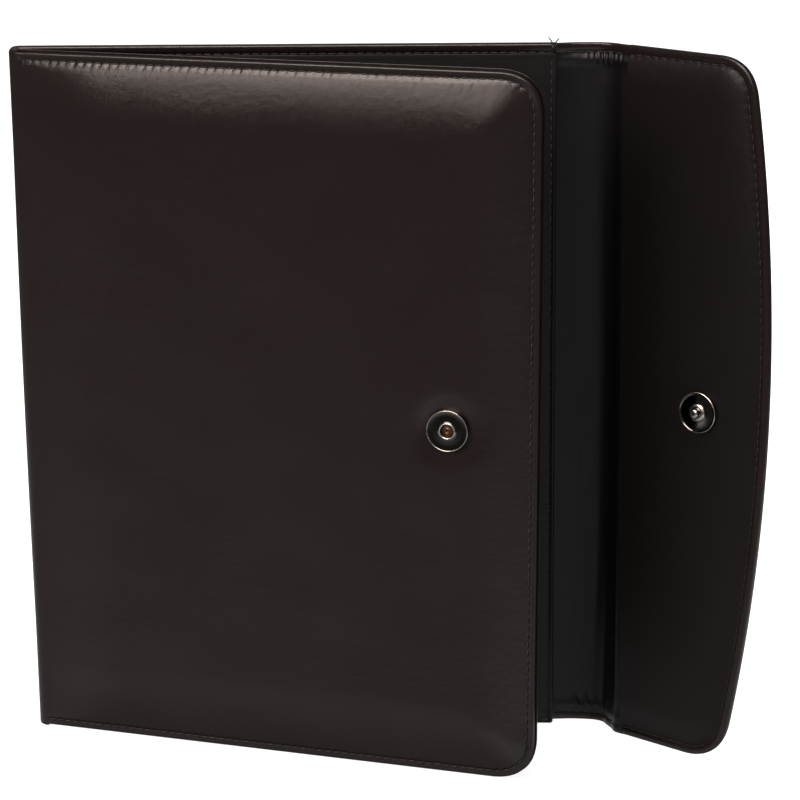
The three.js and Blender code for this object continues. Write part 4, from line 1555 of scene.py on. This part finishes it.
@dataclass(frozen=True)
class Studio:
    """Pale floor, surroundings that the leather and the metal mirror, and soft lights."""

    floor_size: float = 30.0
    floor_colour: str = "A0A0A0"
    floor_glow: float = 0.93
    # Brightness of the surroundings by height of the direction: 0 is down, 0.5 level and 1 up
    levels: tuple[tuple[float, float], ...] = (
        (0.0, 0.15), (0.08, 0.15), (0.15, 0.22), (0.25, 0.42), (0.29, 0.6), (0.305, 0.58),
        (0.325, 0.38), (0.345, 0.2), (0.37, 0.04), (0.42, 0.04), (0.48, 0.03), (0.5, 0.06),
        (0.56, 0.1), (0.62, 0.07), (1.0, 0.07),
    )
    # Factors on it: at the far left, and everywhere but at the left, each with the two sideways
    # parts of the direction between which it sets in
    left_glow: float = 1.3
    left_from: tuple[float, float] = (-0.62, -0.96)
    front_glow: float = 1.65
    front_from: tuple[float, float] = (-0.38, -0.12)
    boxes: tuple[Softbox, ...] = (
        Softbox(
            "low_sheen", (-0.76, -1.3, 0.87), (-0.03, -0.05, 0.32), 0.74, 0.54, 6.9, Light.SHEEN
        ),
        Softbox("high_sheen", (-0.2, -0.82, 1.5), (-0.03, -0.05, 0.3), 1.3, 1.1, 42.0, Light.SHEEN),
        Softbox("even_key", (-1.17, -0.85, 1.1), (0.0, -0.03, 0.2), 0.7, 0.7, 24.0, Light.EVEN),
        Softbox("overhead", (0.05, -0.5, 1.9), (0.03, 0.0, 0.2), 1.2, 0.7, 15.0, Light.EVEN),
        Softbox("rear_even", (0.75, 1.15, 1.0), (0.0, 0.03, 0.18), 0.6, 0.6, 38.0, Light.EVEN),
    )

    def build(self) -> None:
        """Adds the floor, the surroundings and the lights."""
        bpy.ops.object.select_all(action="DESELECT")
        bpy.ops.mesh.primitive_plane_add(size=self.floor_size)
        floor = bpy.context.object
        floor.name = "studio_floor"
        material, tree = blank_material("pale_floor")
        add_surface(
            tree, Base_Color=linear(self.floor_colour), Roughness=0.9, Specular_IOR_Level=0.1,
            Emission_Color=linear("FFFFFF"), Emission_Strength=self.floor_glow,
        )
        floor.data.materials.append(material)
        floor.visible_glossy = False
        bpy.context.scene.view_settings.view_transform = "Standard"
        self.surroundings()
        for box in self.boxes:
            box.build()

    def surroundings(self) -> None:
        """Makes the surroundings: a bright band well below the horizon, and dim elsewhere."""
        world = bpy.data.worlds.new("white_studio")
        world.use_nodes = True
        tree = world.node_tree
        direction = add_node(tree, "ShaderNodeTexCoord").outputs["Generated"]
        parts = add_node(tree, "ShaderNodeSeparateXYZ", links={"Vector": direction})
        height = add_node(
            tree, "ShaderNodeMapRange", links={"Value": parts.outputs["Z"]}, From_Min=-1.0,
        )
        ramp = add_node(tree, "ShaderNodeValToRGB", links={"Fac": height.outputs["Result"]})
        points = ramp.color_ramp.elements
        ends = (points[0], self.levels[0]), (points[1], self.levels[-1])
        for point, (at, value) in ends:
            point.position, point.color = at, (value, value, value, 1.0)
        for at, value in self.levels[1:-1]:
            points.new(at).color = (value, value, value, 1.0)
        both = add_node(tree, "ShaderNodeMath", {"operation": "MULTIPLY"})
        factors = (self.left_glow, self.left_from), (self.front_glow, self.front_from)
        for k, (glow, (start, full)) in enumerate(factors):
            factor = add_node(
                tree, "ShaderNodeMapRange", links={"Value": parts.outputs["X"]},
                From_Min=start, From_Max=full, To_Min=1.0, To_Max=glow,
            )
            tree.links.new(factor.outputs["Result"], both.inputs[k])
        background = tree.nodes["Background"]
        tree.links.new(ramp.outputs["Color"], background.inputs["Color"])
        tree.links.new(both.outputs["Value"], background.inputs["Strength"])
        bpy.context.scene.world = world


def dress(piece: bpy.types.Object, finish: Finish, *materials: bpy.types.Material) -> None:
    """Gives a piece its materials and body and reports it."""
    for material in materials:
        piece.data.materials.append(material)
    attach(piece, BODY)
    LOG.info("%s: %d faces", piece.name, len(piece.data.polygons))


def main() -> None:
    """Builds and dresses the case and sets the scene."""
    logging.basicConfig(level=logging.INFO, format="%(message)s")
    plan = CasePlan(CaseSizes())
    PlacedCamera().build()
    Studio().build()
    # Coated leather takes the lights as a warm sheen, and the thin leathers stay dull and dark
    outer = LeatherFinish("coated_split_leather", "18110F", "1F1715", 0.18).build()
    lining = LeatherFinish("thin_lining_leather", "120F10", "171314", 0.34, specular=0.24).build()
    soft = LeatherFinish("soft_gusset_leather", "0B0A0B", "0F0D0F", 0.34, specular=0.3).build()
    # The flap's lining is a darker copy of the lining leather: painted shade for the flap, which
    # lies in the front cover's shadow
    painted_shade_lining = LeatherFinish("flap_lining_leather_painted_shade", "110D0C", "15100F", 0.32, specular=0.2).build()
    # Thread gleams in short dashes on the front cover and stays dull in the other seams
    thread = ThreadFinish("bonded_thread", "181413", 0.36).build()
    dull = ThreadFinish("dull_thread", "0A0808", 0.6).build()
    # Plate mirrors the dim studio, and its raised edges are buffed bright and catch the lights
    chrome = MetalFinish("black_nickel_plate", "6E6A66", 0.1).build()
    buffed = MetalFinish("bright_nickel_edge", "DAD5CD", 0.24).build()
    rivet = MetalFinish("coppery_rivet_metal", "5A4238", 0.42).build()
    brass = MetalFinish("worn_brass_edge", "8E7048", 0.34).build()
    dressed = [
        (FrontCover(plan).build(), Finish.OUTER, (outer,), ("front_cover",), 0.5, thread),
        (Spine(plan).build(), Finish.OUTER, (outer,), ("spine",), None, thread),
        (BackCover(plan).build(), Finish.OUTER, (outer,), ("back_cover",), 0.3, dull),
        (InnerPanel(plan).build(), Finish.LINING, (lining,), ("inner_panel",), 0.2, dull),
        (Gusset(plan).build(), Finish.SOFT, (soft, outer), ("gusset",), None, dull),
        (Flap(plan).build(), Finish.OUTER, (outer, painted_shade_lining), ("flap", "flap_lining"), 0.3, dull),
    ]
    for (piece, *rows), finish, materials, nodes, fill, sewn in dressed:
        dress(piece, finish, *materials)
        for row in rows:
            dress(row, finish, sewn)
        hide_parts(*nodes)
    socket, head, stud = Snap(plan).build()
    for piece, finish, materials, node in (
        (socket, Finish.CHROME, (chrome, buffed), "snap_socket"),
        (head, Finish.RIVET, (rivet, brass), "snap_rivet"),
        (stud, Finish.CHROME, (chrome, buffed), "snap_stud"),
    ):
        dress(piece, finish, *materials)
        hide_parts(node)


if __name__ == "__main__":
    main()
